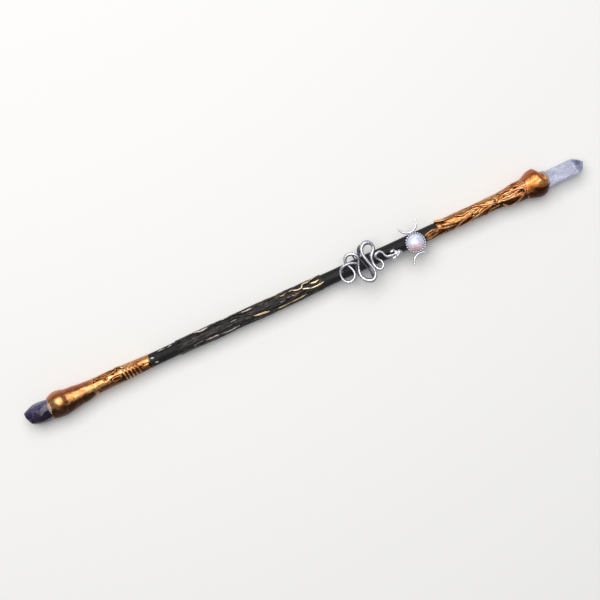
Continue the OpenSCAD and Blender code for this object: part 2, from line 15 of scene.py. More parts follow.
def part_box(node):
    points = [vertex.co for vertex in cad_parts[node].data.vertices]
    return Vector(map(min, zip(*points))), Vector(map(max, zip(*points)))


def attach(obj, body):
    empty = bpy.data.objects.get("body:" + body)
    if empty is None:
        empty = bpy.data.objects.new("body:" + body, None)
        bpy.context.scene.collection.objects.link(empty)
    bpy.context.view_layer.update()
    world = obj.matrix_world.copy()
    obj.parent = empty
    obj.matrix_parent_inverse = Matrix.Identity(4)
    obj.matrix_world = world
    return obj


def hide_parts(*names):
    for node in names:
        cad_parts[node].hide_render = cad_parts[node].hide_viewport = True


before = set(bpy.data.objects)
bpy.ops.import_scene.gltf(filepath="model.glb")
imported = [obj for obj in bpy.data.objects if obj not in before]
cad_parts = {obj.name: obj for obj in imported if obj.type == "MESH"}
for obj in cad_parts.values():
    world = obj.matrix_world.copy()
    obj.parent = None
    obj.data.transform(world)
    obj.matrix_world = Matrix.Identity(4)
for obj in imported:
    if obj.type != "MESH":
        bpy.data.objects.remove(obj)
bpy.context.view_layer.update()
MM = 0.001


def mm_box(node):
    """The low and high corner of a CAD node, in mm."""
    low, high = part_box(node)
    return np.array(low) / MM, np.array(high) / MM


core_low, core_high = mm_box("branch_core")
AXIS = np.array([0, *(core_low + core_high)[1:] / 2])
BRANCH_R = (core_high[2] - core_low[2]) / 2

# ---- The routes of the strands, as part.scad has them: [x, angle, half width, lift] ----

BARK_RIDGES = [
    [[-83.6, 24, 0.25], [-82, 44, 0.6], [-79, 62, 0.7], [-75, 64, 0.6], [-70, 58, 0.7],
     [-67, 46, 0.9], [-64, 47, 0.8], [-60, 56, 0.6], [-55, 62, 0.5], [-50, 66, 0.7],
     [-46, 68, 0.7], [-42, 58, 0.4], [-38, 54, 0.2]],
    [[-42, 48, 0.25], [-38, 42, 0.6], [-34, 41, 0.8], [-31, 50, 0.6], [-27, 46, 0.4],
     [-22, 56, 0.5], [-18, 62, 0.6], [-13, 58, 0.5], [-8, 54, 0.25]],
    [[-46, 34, 0.25], [-43, 24, 0.45], [-38, 10, 0.5], [-34, -6, 0.45]],
    [[-73, -26, 0.2], [-70, -28, 0.5], [-67, -29, 0.4], [-64, -35, 0.6], [-58, -37, 0.7],
     [-55.5, -41, 0.4], [-52, -45, 0.6], [-47, -43, 0.6], [-43.5, -40, 0.25]],
    [[-34, -17, 0.3], [-32, -22, 0.8], [-28, -27, 1], [-25, -33, 0.8], [-22, -40, 0.4],
     [-17.5, -47, 0.55], [-10, -43, 0.6], [-4, -41, 0.6], [0.6, -36, 0.25]],
    [[-20, 44, 0.25], [-16, 41, 0.45], [-13.5, 30, 0.6], [-11, 38, 0.5], [-7.5, 40, 0.5],
     [-5.5, 28, 0.6], [-3, 21, 0.5], [-1, 25, 0.7], [0.5, 45, 0.8], [3.5, 45, 0.8],
     [6, 53, 0.8], [9.6, 68, 0.3]],
    [[4.4, 28, 0.25], [5.6, 25, 0.6], [8, 21, 0.7], [10.6, 26, 0.3]],
    [[-0.8, 13, 0.25], [1.5, 4, 0.55], [4, -8, 0.6], [7, -11, 0.6], [10, -9, 0.6],
     [12.8, -5, 0.3]],
    [[-80, 100, 0.25], [-70, 112, 0.7], [-58, 104, 0.5], [-46, 118, 0.8], [-34, 108, 0.4],
     [-22, 120, 0.7], [-8, 110, 0.6], [6, 122, 0.25]],
    [[-82, 150, 0.25], [-72, 160, 0.6], [-60, 146, 0.8], [-50, 158, 0.5], [-38, 166, 0.7],
     [-26, 150, 0.5], [-12, 160, 0.8], [0, 150, 0.5], [10, 156, 0.25]],
    [[-78, 206, 0.25], [-66, 198, 0.7], [-52, 210, 0.5], [-40, 200, 0.8], [-28, 212, 0.5],
     [-14, 202, 0.7], [-2, 210, 0.5], [9, 200, 0.25]],
    [[-80, 262, 0.25], [-68, 252, 0.6], [-56, 262, 0.7], [-42, 250, 0.5], [-30, 262, 0.6],
     [-18, 250, 0.8], [-4, 258, 0.6], [8, 250, 0.25]],
]
# How much wax each bark ridge caught along its route, as [x, amount], and how golden it is
BARK_GILT = [
    [[-83, 0.3], [-72, 0.35], [-70, 0.85], [-63, 0.85], [-61, 0.35], [-53.5, 0.4], [-52, 0.9],
     [-49, 0.9], [-46, 0.55], [-38, 0.4]],
    [[-42, 0.3], [-39.5, 0.8], [-34, 0.8], [-32.5, 0.4], [-21, 0.5], [-18, 0.75], [-13, 0.7],
     [-8, 0.3]],
    [[-46, 0.3], [-34, 0.3]],
    [[-73, 0.4], [-70.5, 0.85], [-68, 0.85], [-67, 0.5], [-65, 0.8], [-60, 1], [-58, 0.9],
     [-56.8, 0.45], [-54, 0.8], [-45, 0.95], [-43.5, 0.5]],
    [[-34, 0.9], [-25, 1], [-23.5, 0.35], [-18.5, 0.45], [-17, 1], [-2, 1], [0.6, 0.6]],
    [[-20, 0.35], [-16, 0.65], [-12, 0.7], [-9, 0.4], [-7, 0.95], [9.6, 1]],
    [[4.4, 1], [10.6, 1]],
    [[-0.8, 0.8], [1, 1], [12.8, 0.9]],
    [[-80, 0.45], [6, 0.5]],
    [[-82, 0.5], [10, 0.6]],
    [[-78, 0.55], [9, 0.5]],
    [[-80, 0.45], [8, 0.55]],
]
BARK_WARMTH = [0.15, 0.3, 0.1, 0.15, 0.9, 0.75, 1, 0.6, 0.5, 0.6, 0.5, 0.6]
TIP_ROOTS = [
    [[87.3, 60, 0.7, 1.1], [90, 55, 0.85, 0.6], [93, 47, 0.75, 0.2], [96, 42, 0.3, 0]],
    [[79, -13, 0.25], [80.5, -4, 0.5], [82, 1, 0.55], [84, 6, 0.6], [86, 1, 0.5], [88, -4, 0.5],
     [90, -13, 0.6], [93, -22, 0.6], [95.5, -28, 0.45], [99, -34, 0.25]],
    [[80.3, -80, 0.3], [82.5, -80, 0.55], [85, -72, 0.5], [88, -64, 0.45], [92, -56, 0.25]],
    [[94.8, -78, 0.4], [97, -68, 0.6], [99, -54, 0.6], [101, -41, 0.55], [103, -31, 0.5],
     [105, -25, 0.5], [107, -16, 0.5], [109, -5, 0.45], [111, 4, 0.25]],
    [[101.3, -72, 0.4], [105, -66, 0.6], [108, -57, 0.6], [111, -44, 0.6], [114, -37, 0.6],
     [117, -25, 0.5], [120, -17, 0.45], [123.5, -8, 0.25]],
    [[115.7, -70, 0.4], [118, -72, 0.7], [119.5, -57, 0.55], [121, -44, 0.5], [124, -37, 0.5],
     [127.5, -34, 0.25]],
    [[129.2, -36, 0.3], [130.3, -50, 0.5], [131.8, -70, 0.65], [134, -78, 0.75],
     [136.5, -62, 0.75], [139, -50, 0.8], [141.3, -38, 0.7], [143.2, -30, 0.4]],
    [[128, 60, 0.3], [131, 46, 0.6], [133, 49, 0.7], [135, 55, 0.7], [137, 61, 0.8],
     [140, 66, 0.6], [143.2, 62, 0.3]],
    [[100, 40, 0.3], [101.5, 33, 0.5], [103, 23, 0.55], [104.5, 16, 0.5], [106.5, 19, 0.55],
     [108.5, 22, 0.45], [109.8, 26, 0.25]],
    [[90.6, 14, 0.3], [92, 7, 0.7], [94, 2, 0.8], [96, -6, 0.5], [98, -12, 0.25]],
    [[111.5, 52, 0.3], [113.5, 46, 0.6], [116, 35, 0.7], [118.5, 20, 0.7], [121, 10, 0.6],
     [123.5, 2, 0.6], [125.8, -6, 0.25]],
    [[111, -16, 0.3], [112.5, -11, 0.6], [114.5, -1, 0.6], [116, 9, 0.5], [117, 17, 0.25]],
    [[90, 128, 0.25], [100, 116, 0.7], [112, 132, 0.6], [122, 118, 0.8], [132, 130, 0.7],
     [144, 118, 0.3]],
    [[92, 214, 0.25], [103, 228, 0.7], [114, 212, 0.6], [125, 226, 0.8], [135, 214, 0.7],
     [144, 226, 0.3]],
    [[110, 8, 0.35], [111, 11, 0.8], [112.3, 10, 0.8], [113.4, 7, 0.3]],
    [[126, -8, 0.35], [126.6, 6, 0.8], [127.4, 18, 0.8], [127.8, 30, 0.35]],
    [[131, 4, 0.3], [133, -2, 0.5], [135, -4, 0.5], [137.5, 0, 0.5], [139.6, -5, 0.25]],
    [[138, 44, 0.3], [139.5, 41, 0.55], [141.3, 34, 0.5], [143.6, 34, 0.4], [144.6, 32, 0.2]],
    [[112, 182, 0.25], [118, 172, 0.7], [126, 180, 0.8], [134, 168, 0.7], [143, 176, 0.3]],
]
TIP_EYE = [
    [130.6, 26, 0.45], [133, 24, 0.5], [137, 20, 0.55], [140.5, 16, 0.6], [143, 10, 0.65],
    [144.4, 1, 0.7], [144.5, -11, 0.7], [143.3, -21, 0.6], [141, -25, 0.55], [138.5, -20, 0.5],
    [135, -19, 0.5], [131.5, -18, 0.45], [129.4, -10, 0.4], [129.1, 8, 0.4],
]
BUTT_RIBS = [
    [[x - 0.4, 30, 0.25], [x - 0.3, 12, 0.5], [x, -8, 0.65], [x + 0.2, -26, 0.7],
     [x + 0.3, -46, 0.6], [x + 0.2, -72, 0.25]]
    for x in (-118.4, -116.3, -114, -111.8, -109.4)
]
BUTT_BANDS = [
    [[-107, -13, 0.3], [-105.8, -16, 0.8], [-103.8, -16, 0.8], [-102.7, -14, 0.35]],
    [[-123.4, 82, 0.35], [-121.4, 73, 0.8], [-119.7, 59, 0.9], [-118.4, 46, 0.7], [-117.6, 36, 0.3]],
    [[-138.4, 28, 0.25], [-137.8, 40, 0.5], [-136.9, 52, 0.6], [-136, 62, 0.3]],
]
BUTT_DAUBS = [
    [[-100.9, 15, 0.3], [-99.6, 13, 0.8], [-98.4, 6, 0.3]],
    [[-99, -30, 0.3], [-97.8, -33, 0.6], [-96.8, -37, 0.25]],
]
BARK_FLECKS = [
    [[-95, 46, 0.2], [-93, 49, 0.45], [-90.4, 48, 0.2]],
    [[-89, 40, 0.2], [-87.2, 48, 0.45], [-85.8, 54, 0.2]],
]
# Centre line of the snake, from the tail: [x, y, height over the branch's top, radius]
SNAKE = [
    [35.9, 0.7, 2.2, 0.45], [34.6, 1.5, 2.5, 0.55], [32.8, 2.5, 2.7, 0.6], [30.8, 3.1, 2.8, 0.65],
    [28.6, 3.2, 2.7, 0.7], [26.4, 2.8, 2.2, 0.75], [24.7, 1.7, 1.7, 0.7], [23.7, 0, 1.4, 0.65],
    [23.4, -2.2, 1.2, 0.65], [23.8, -4.4, 1.1, 0.75], [25, -6.3, 1.1, 0.9], [27, -7.2, 1.1, 1.05],
    [29.2, -6.7, 1.1, 1], [30.8, -5.2, 1, 0.85], [31.5, -3.1, 1, 0.75], [31.3, -1, 0.9, 0.7],
    [30.5, 0.9, 0.8, 0.65], [29.6, 2.7, 0.8, 0.7], [29.1, 4.5, 0.9, 0.85], [29.5, 6.3, 1.1, 0.95],
    [30.8, 7.7, 1.4, 1], [32.7, 8.1, 1.7, 1], [34.6, 7.6, 1.9, 1], [36.3, 6.2, 2, 0.95],
    [37.1, 4.3, 1.9, 0.85], [36.7, 2.4, 1.6, 0.75], [35.8, 0.5, 1.3, 0.7], [35, -1.6, 1.1, 0.7],
    [34.4, -3.8, 1, 0.8], [34.2, -6, 1.1, 0.95], [34.7, -8.1, 1.3, 1.1], [36.1, -10, 1.4, 1.2],
    [38, -11.3, 1.5, 1.3], [40.1, -11.6, 1.6, 1.35], [41.9, -10.4, 1.8, 1.2],
    [42.9, -8.3, 2, 0.95], [42.9, -6, 2.2, 0.85], [42.3, -3.6, 2.3, 0.85], [41.6, -1.2, 2.4, 0.85],
    [41, 1.2, 2.4, 0.9], [40.5, 3.6, 2.3, 0.9], [40.5, 5.9, 2.2, 0.95], [41.1, 7.9, 2, 1.1],
    [42.4, 9.5, 1.8, 1.3], [44.3, 10.3, 1.7, 1.4], [46.2, 9.9, 1.6, 1.25], [47.5, 8.6, 1.5, 1.05],
    [48, 6.8, 1.3, 0.95], [47.6, 5, 1.2, 1], [46.4, 3.5, 1.2, 1.2], [45.1, 2, 1.2, 1.25],
    [44.3, 0.1, 1.2, 1.05], [44, -2, 1.2, 0.85], [44.2, -4.2, 1.3, 0.8], [44.9, -6.2, 1.4, 0.9],
    [46.3, -7.7, 1.5, 0.95], [48, -7.4, 1.6, 0.85], [49.2, -5.9, 1.6, 0.75], [49.3, -4.2, 1.5, 0.65],
    [48.6, -2.7, 1.4, 0.6], [47.5, -1.3, 1.6, 0.65], [46.8, 0.2, 2.1, 0.8], [47.5, 1.5, 2.4, 0.85],
    [49.2, 2.1, 2.3, 0.8], [50.7, 1.7, 2.2, 0.7], [51.8, 0.4, 2.1, 0.65], [52.3, -1.3, 2, 0.65],
    [53.3, -2.5, 1.9, 0.7], [54.7, -2.8, 1.8, 0.8], [56, -2.9, 1.7, 1],
]
SNAKE_BARS = [
    [[42.2, 9.8, 1.2, 1], [40.3, 9.1, 1.1, 1.1], [39.1, 7.7, 1, 1], [38.5, 6.1, 1, 0.8],
     [38, 4.4, 0.9, 0.6], [38, 2.7, 0.8, 0.5], [38.5, 0.8, 0.8, 0.5], [39.2, -1.4, 0.8, 0.5],
     [40, -3.8, 0.9, 0.5], [40.6, -6.2, 1, 0.55], [40.8, -8.4, 1.2, 0.7], [40.8, -10, 1.4, 0.9]],
    [[34.4, 6.8, 1.6, 0.4], [34.9, 4.8, 1.2, 0.4], [35, 2.8, 0.8, 0.45], [34.6, 0.8, 0.8, 0.5],
     [33.7, -0.9, 0.8, 0.55], [33.2, -2.8, 0.8, 0.55], [33.3, -4.8, 0.9, 0.55], [34, -6.6, 1, 0.6]],
]
# Outer radius of the sculpted skin, as [x, radius]
BUTT_SKIN = [[-137.6, 4.95], [-120, 4.75], [-108, 4.4], [-101, 4.25]]
BARK_R = 4.45
TIP_SKIN = [[87.5, 4.3], [120, 4.3], [127, 4.55], [133, 5.15], [139, 6], [145, 6.3]]
SKIN = np.array([
    *BUTT_SKIN, [-100.99, BRANCH_R], [-84.21, BRANCH_R], [-84.2, BARK_R], [12.5, BARK_R],
    [12.51, BRANCH_R], [87.49, BRANCH_R], *TIP_SKIN,
])

# Grooves pressed into the skin between the strands: [x, angle, half width]
TIP_GROOVES = [
    [[139.4, -5, 0.25], [141, -6, 0.6], [142.8, -6, 0.75], [144.2, -4, 0.3]],
    [[89, -20, 0.3], [93, -32, 0.4], [96, -39, 0.5], [99, -39, 0.4], [102, -47, 0.4],
     [106, -39, 0.4], [108.5, -32, 0.4], [110, -16, 0.3]],
    [[117, 4, 0.3], [119, -7, 0.4], [121, -11, 0.4], [123, -21, 0.35], [126, -26, 0.4],
     [129.5, -32, 0.4]],
    [[125.8, 28, 0.3], [125.7, 12, 0.35], [125.6, -14, 0.3]],
    [[130.4, -30, 0.3], [132, -37, 0.6], [134.2, -38, 0.5], [136, -35, 0.25]],
    [[136.5, -33, 0.2], [139, -31, 0.3], [141, -31, 0.2]],
    [[101, 20, 0.25], [103, 11, 0.35], [105, 9, 0.45]],
    [[130, 33, 0.25], [133, 36, 0.35], [135.6, 36, 0.4]],
    [[140, 8, 0.2], [137, 9, 0.25], [134, 5, 0.3], [131.5, 9, 0.3]],
    [[89.3, 33, 0.15], [91.3, 28, 0.35], [93.4, 21, 0.2]],
    [[109.8, 10, 0.25], [109.9, -4, 0.35], [110.2, -16, 0.4]],
    [[113.6, 14, 0.3], [114.3, 6, 0.4], [113.4, 0, 0.3]],
    [[101, 44, 0.3], [106, 32, 0.35], [111, 38, 0.3]],
    [[90.9, 20, 0.25], [90.6, 8, 0.3], [91.2, -8, 0.25]],
    [[138.6, 34, 0.3], [139.6, 30, 0.35], [141.2, 43, 0.3], [143, 44, 0.3]],
]
BUTT_GROOVES = [
    [[-134, 52, 0.3], [-131, 49, 0.45], [-127, 50, 0.45], [-123.6, 50, 0.5]],
    [[-137.2, 30, 0.4], [-135.4, 32, 0.4]],
    [[-128.4, -31, 0.2], [-126, -22, 0.3], [-124, -17, 0.5], [-122, -15, 0.6], [-121.3, -16, 0.4]],
    [[-130.4, 16, 0.35], [-130.2, 15, 0.35]],
    [[-106.9, 6, 0.4], [-105.9, 2, 0.4]],
    [[-125.6, 26, 0.3], [-124.6, 23, 0.3]],
    *[[[x - 0.3, 2, 0.15], [x, -14, 0.3], [x + 0.2, -34, 0.4], [x + 0.2, -80, 0.35]]
      for x in (-119.6, -117.3, -115.1, -112.9, -110.6, -108.1)],
    [[-102.3, 30, 0.2], [-102.2, -20, 0.4], [-102.4, -60, 0.3]],
]
BARK_GROOVES = [
    [[1.4, 30, 0.3], [2.7, 27, 0.6], [4, 20, 0.3]],
    [[-44, 22, 0.2], [-38, -2, 0.3], [-34.8, -26, 0.3]],
]


# ---- Noise and curves ----


def lattice_noise(places, seed):
    """Smooth noise from -1 to 1 at places (n x 3), with one cell a unit."""
    cell = np.floor(places).astype(np.int64)
    part = places - cell
    part = part * part * (3 - 2 * part)
    total = np.zeros(len(places))
    for corner in itertools.product((0, 1), repeat=3):
        c = cell + corner
        mixed = (c[:, 0] * 73856093) ^ (c[:, 1] * 19349663) ^ (c[:, 2] * 83492791)
        mixed ^= seed * 2654435761
        mixed &= 0xFFFFFFFF
        mixed = ((mixed ^ (mixed >> 13)) * 1274126177) & 0xFFFFFFFF
        mixed ^= mixed >> 16
        total += (mixed / 0x7FFFFFFF - 1) * np.prod(np.where(corner, part, 1 - part), axis=1)
    return total


def fbm(places, size, octaves=3, seed=1):
    """Layered noise about 0 at places in mm. size is its largest grain, one number or one an axis."""
    shape = places.shape[:-1]
    scaled = places.reshape(-1, 3) / np.array(size, float)
    layers = [lattice_noise(scaled * 2**k + 17.3 * k, seed + k) / 2**k for k in range(octaves)]
    return sum(layers).reshape(shape)


def ease(low, high, value):
    """0 at low, 1 at high, smooth between; low may be the greater."""
    t = np.clip((value - low) / (high - low), 0, 1)
    return t * t * (3 - 2 * t)


def bell(value, width):
    """1 where value is 0, falling away on both sides within about the width."""
    return np.exp(-((value / width) ** 2))


def smooth_path(points, steps):
    """A Catmull-Rom row through the points, which may hold any number of columns."""
    p = np.array(points, float)
    ends = np.vstack([p[:1], p, p[-1:]])
    rows = []
    for a, b, c, d in zip(ends, ends[1:], ends[2:], ends[3:]):
        for t in np.arange(steps) / steps:
            bend = 2 * a - 5 * b + 4 * c - d + t * (3 * b - a - 3 * c + d)
            rows.append(b + 0.5 * t * ((c - a) + t * bend))
    return np.vstack([rows, p[-1:]])


def even(places, values, pitch):
    """The row of places and the values along it, taken again at an even pitch, and the distance along."""
    gaps = np.linalg.norm(np.diff(places, axis=0), axis=1)
    along = np.concatenate([[0], np.cumsum(gaps)])
    stops = np.linspace(0, along[-1], max(4, int(along[-1] / pitch)) + 1)
    take = lambda table: np.stack([np.interp(stops, along, column) for column in table.T], -1)
    return take(places), take(values), stops


def units(v):
    return v / np.maximum(np.linalg.norm(v, axis=-1, keepdims=True), 1e-12)


def headings(places, loop=False):
    """Unit directions along a row of places."""
    if loop:
        return units(np.roll(places, -1, 0) - np.roll(places, 1, 0))
    return units(np.gradient(places, axis=0))


def on_skin(x, degrees, radius):
    """Points about the branch's axis."""
    a = np.radians(degrees)
    return np.stack([x, radius * np.sin(a), radius * np.cos(a)], -1)


def bar_rings(line, radius, turn, flat):
    """Sections of a bar that lies flat: radius is for each section and turn, flat is its height's share."""
    ahead = headings(line)
    side = units(np.cross([0, 0, 1.0], ahead))
    up = np.cross(ahead, side)
    across = np.cos(turn)[None, :, None] * side[:, None]
    return line[:, None] + radius[..., None] * (across + (flat * np.sin(turn))[None, :, None] * up[:, None])


def along_table(x, table):
    """The smoothed table's value at x."""
    table = smooth_path(table, 6)
    if table[0, 0] > table[-1, 0]:
        table = table[::-1]
    return np.interp(x, table[:, 0], table[:, 1])


# ---- Meshes ----


def piece(name, points, faces, slot, marks=None, smooth=True):
    """A mesh piece that stands for the CAD node of the same name, from points in mm about the axis.

    marks are named values on its points, which its paint reads.
    """
    mesh = bpy.data.meshes.new(name)
    mesh.from_pydata(((points + AXIS) * MM).tolist(), [], faces)
    outward = bmesh.new()
    outward.from_mesh(mesh)
    if outward.calc_volume(signed=True) < 0:
        bmesh.ops.reverse_faces(outward, faces=outward.faces)
    outward.to_mesh(mesh)
    outward.free()
    for mark, values in (marks or {}).items():
        layer = mesh.attributes.new(mark, "FLOAT", "POINT")
        layer.data.foreach_set("value", np.ravel(values).astype(np.float32))
    if smooth:
        mesh.shade_smooth()
    mesh.materials.append(PAINTS[slot])
    made = bpy.data.objects.new(name, mesh)
    bpy.context.scene.collection.objects.link(made)
    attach(made, "root")
    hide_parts(name)
    return made


def skin_faces(count, sides, loop=False):
    """Quads round rows of sections, with a cap at each end unless the rows join up."""
    i = np.arange(count if loop else count - 1)[:, None]
    j = np.arange(sides)[None, :]
    here, ahead = i * sides, (i + 1) % count * sides
    quads = np.stack([here + j, ahead + j, ahead + (j + 1) % sides, here + (j + 1) % sides], -1)
    faces = quads.reshape(-1, 4).tolist()
    if not loop:
        faces += [list(range(sides))[::-1], list(range((count - 1) * sides, count * sides))]
    return faces


def joined(name, parts, slot, extra=None):
    """One piece from several closed (rings, marks, loop); extra is (points, faces, marks) of one more."""
    points, faces, marks = [], [], {}
    if extra:
        points, faces = [extra[0]], list(extra[1])
        marks = {mark: [values] for mark, values in extra[2].items()}
    for rings, own_marks, loop in parts:
        start = sum(len(p) for p in points)
        faces += [[v + start for v in face] for face in skin_faces(*rings.shape[:2], loop)]
        points.append(rings.reshape(-1, 3))
        for mark, values in own_marks.items():
            marks.setdefault(mark, []).append(np.ravel(values))
    marks = {mark: np.concatenate(values) for mark, values in marks.items()}
    return piece(name, np.vstack(points), faces, slot, marks)


def skinned(name, rings, slot, marks=None, loop=False):
    return joined(name, [(rings, marks or {}, loop)], slot)


# ---- Materials ----


class Paint:
    """A node material under way."""

    def __init__(self, name):
        self.material = bpy.data.materials.new(name)
        self.material.use_nodes = True
        self.tree = self.material.node_tree
        self.shader = self.tree.nodes["Principled BSDF"]
        self.place = self.add("ShaderNodeTexCoord").outputs["Object"]

    def add(self, kind, inputs=None, **settings):
        """A new node, with values or links for its inputs."""
        node = self.tree.nodes.new(kind)
        for key, value in settings.items():
            setattr(node, key, value)
        for key, value in (inputs or {}).items():
            self.put(node.inputs[key], value)
        return node

    def put(self, socket, value):
        if isinstance(value, bpy.types.NodeSocket):
            self.tree.links.new(value, socket)
        else:
            socket.default_value = value

    def set(self, **inputs):
        for key, value in inputs.items():
            self.put(self.shader.inputs[key.replace("_", " ")], value)

    def spread(self, size, offset=(0, 0, 0)):
        """Coordinates in grains of the given size in mm, one number or one for each axis."""
        scale = tuple(1 / (MM * s) for s in np.broadcast_to(size, 3))
        inputs = {"Vector": self.place, "Scale": scale, "Location": offset}
        return self.add("ShaderNodeMapping", inputs).outputs["Vector"]

    def noise(self, size, detail=4, roughness=0.55, distortion=0.0, offset=(0, 0, 0)):
        inputs = {"Vector": self.spread(size, offset), "Scale": 1.0, "Detail": float(detail)}
        inputs |= {"Roughness": roughness, "Distortion": distortion}
        return self.add("ShaderNodeTexNoise", inputs).outputs["Fac"]

    def cells(self, size):
        inputs = {"Vector": self.spread(size), "Scale": 1.0}
        return self.add("ShaderNodeTexVoronoi", inputs).outputs["Distance"]

    def mark(self, name):
        return self.add("ShaderNodeAttribute", attribute_name=name).outputs["Fac"]

    def ramp(self, value, *stops):
        ramp = self.add("ShaderNodeValToRGB", {"Fac": value})
        band = ramp.color_ramp
        while len(band.elements) < len(stops):
            band.elements.new(0.5)
        for element, (at, colour) in zip(band.elements, stops):
            element.position = at
            element.color = (*colour, 1)
        return ramp.outputs["Color"]

    def level(self, value, low, high, from_low=0.0, from_high=1.0):
        """value, eased from the from-range to the range low to high."""
        inputs = dict(enumerate((value, from_low, from_high, low, high)))
        return self.add("ShaderNodeMapRange", inputs, interpolation_type="SMOOTHSTEP").outputs["Result"]

    def rough(self, value, low, high):
        """A roughness between low and high, from a noise value."""
        return self.level(value, low, high, 0.3, 0.7)

    def mix(self, share, a, b):
        a, b = ((*c, 1) if isinstance(c, tuple) else c for c in (a, b))
        return self.add("ShaderNodeMix", {0: share, 6: a, 7: b}, data_type="RGBA").outputs[2]

    def math(self, operation, a, b):
        return self.add("ShaderNodeMath", {0: a, 1: b}, operation=operation).outputs[0]

    def plus(self, a, b):
        return self.math("ADD", a, b)

    def times(self, a, b):
        return self.math("MULTIPLY", a, b)

    def about(self, value, swing):
        """A noise value, which is about a half, as a swing to both sides of nothing."""
        return self.times(self.math("SUBTRACT", value, 0.5), swing)

    def bump(self, height, depth, strength=1.0, under=None):
        """Adds a bump, depth in mm, to the shader. under is a bump that it goes on top of."""
        inputs = {"Height": height, "Distance": depth * MM, "Strength": strength}
        if under is not None:
            inputs["Normal"] = under
        normal = self.add("ShaderNodeBump", inputs).outputs["Normal"]
        self.set(Normal=normal)
        return normal


def black_paint(p):
    """Brushed black paint over a sanded stick: fine grain along it, and rubbed brown and grey patches."""
    grain = p.noise((9, 0.5, 0.5), detail=6)
    patches = p.noise((14, 5, 5), detail=3, offset=(3, 1, 2))
    base = p.ramp(patches, (0.3, (0.006, 0.006, 0.007)), (0.55, (0.011, 0.011, 0.012)),
                  (0.8, (0.024, 0.020, 0.018)))
    base = p.mix(p.level(grain, 0, 0.5, 0.55, 0.8), base, (0.040, 0.038, 0.036))
    p.set(Base_Color=base, Roughness=p.rough(grain, 0.45, 0.65), Specular_IOR_Level=0.22)
    fine = p.bump(grain, 0.10, 0.6)
    p.bump(p.noise(2.4, detail=3), 0.14, 0.5, under=fine)


def brushed_bark(p):
    """Black glue bark, with gold and pale wax caught on its crests."""
    recess_and_shade, gilt, warmth = p.mark("recess_and_shade"), p.mark("gilt"), p.mark("warmth")
    streaks = p.noise((5, 0.7, 0.7), detail=6, roughness=0.65)
    flecks = p.noise(1.1, detail=5, roughness=0.7, offset=(5, 0, 1))
    black = p.ramp(streaks, (0.36, (0.003, 0.003, 0.004)), (0.53, (0.014, 0.013, 0.013)),
                   (0.65, (0.100, 0.083, 0.073)))
    rubbed = p.plus(gilt, p.about(flecks, 0.9))
    gold = p.ramp(rubbed, (0.3, (0.14, 0.06, 0.02)), (0.6, (0.55, 0.31, 0.11)), (0.9, (0.98, 0.82, 0.50)))
    pale = p.ramp(rubbed, (0.3, (0.09, 0.065, 0.06)), (0.6, (0.36, 0.29, 0.27)), (0.9, (0.84, 0.77, 0.74)))
    worn = p.plus(gilt, p.plus(p.about(streaks, 0.9), p.about(flecks, 0.9)))
    share = p.times(p.level(worn, 0, 1, 0.34, 0.62), p.level(recess_and_shade, 1, 0, 0.3, 0.85))
    wax = p.mix(warmth, pale, gold)
    p.set(Base_Color=p.mix(share, black, wax), Metallic=p.times(share, 0.7))
    p.set(Roughness=p.math("SUBTRACT", p.rough(streaks, 0.42, 0.62), p.times(share, 0.1)))
    p.set(Specular_IOR_Level=0.25)
    fine = p.bump(streaks, 0.18, 0.7)
    p.bump(p.noise(0.7, detail=4), 0.06, 0.5, under=fine)


def gilded(p, dark, deep, mid, light, roughness, grain):
    """Metallic wax over dark clay: bright on the crests, brown where it was hardly rubbed on, and dark
    where painted shade is marked.
    """
    recess_and_shade = p.mark("recess_and_shade")
    patches = p.noise((8, 4, 4), detail=4, distortion=0.6)
    fine = p.noise(grain, detail=6, roughness=0.62)
    tone = p.plus(p.times(patches, 0.6), p.times(fine, 0.4))
    metal = p.ramp(tone, (0.36, deep), (0.5, mid), (0.62, light))
    # Rose tone: the collar's copper wax carried onto the relief near it, and painted shade on the collars'
    # +Y side
    metal = p.mix(p.times(p.mark("rose_and_shade"), 0.75), metal, (0.46, 0.125, 0.062))
    # Dark in the hollows, and where painted shade is marked
    sunk_and_shaded = p.level(p.plus(recess_and_shade, p.about(fine, 0.6)), 0, 1, 0.25, 0.95)
    p.set(Base_Color=p.mix(sunk_and_shaded, metal, dark), Metallic=p.level(sunk_and_shaded, 0.94, 0.8))
    p.set(Specular_IOR_Level=0.25)
    rough = p.level(fine, roughness - 0.08, roughness + 0.10, 0.3, 0.7)
    p.set(Roughness=p.plus(rough, p.times(sunk_and_shaded, 0.15)))
    under = p.bump(fine, 0.07, 0.5)
    p.bump(p.noise(3, detail=2, offset=(1, 4, 2)), 0.10, 0.4, under=under)


def antique_silver(p):
    """Cast silver plate, with black left in its hollows, and painted shade where it is marked."""
    recess_and_shade = p.mark("recess_and_shade")
    fine = p.noise(0.5, detail=5, roughness=0.6)
    antiquing_and_shade = p.level(p.plus(recess_and_shade, p.about(fine, 0.5)), 0, 1, 0.2, 0.8)
    silver = p.ramp(p.noise(4, detail=3), (0.35, (0.54, 0.54, 0.60)), (0.65, (0.76, 0.76, 0.82)))
    p.set(Base_Color=p.mix(antiquing_and_shade, silver, (0.035, 0.032, 0.042)), Metallic=p.level(antiquing_and_shade, 1, 0.4))
    p.set(Roughness=p.rough(fine, 0.22, 0.4))
    p.bump(fine, 0.03, 0.5)


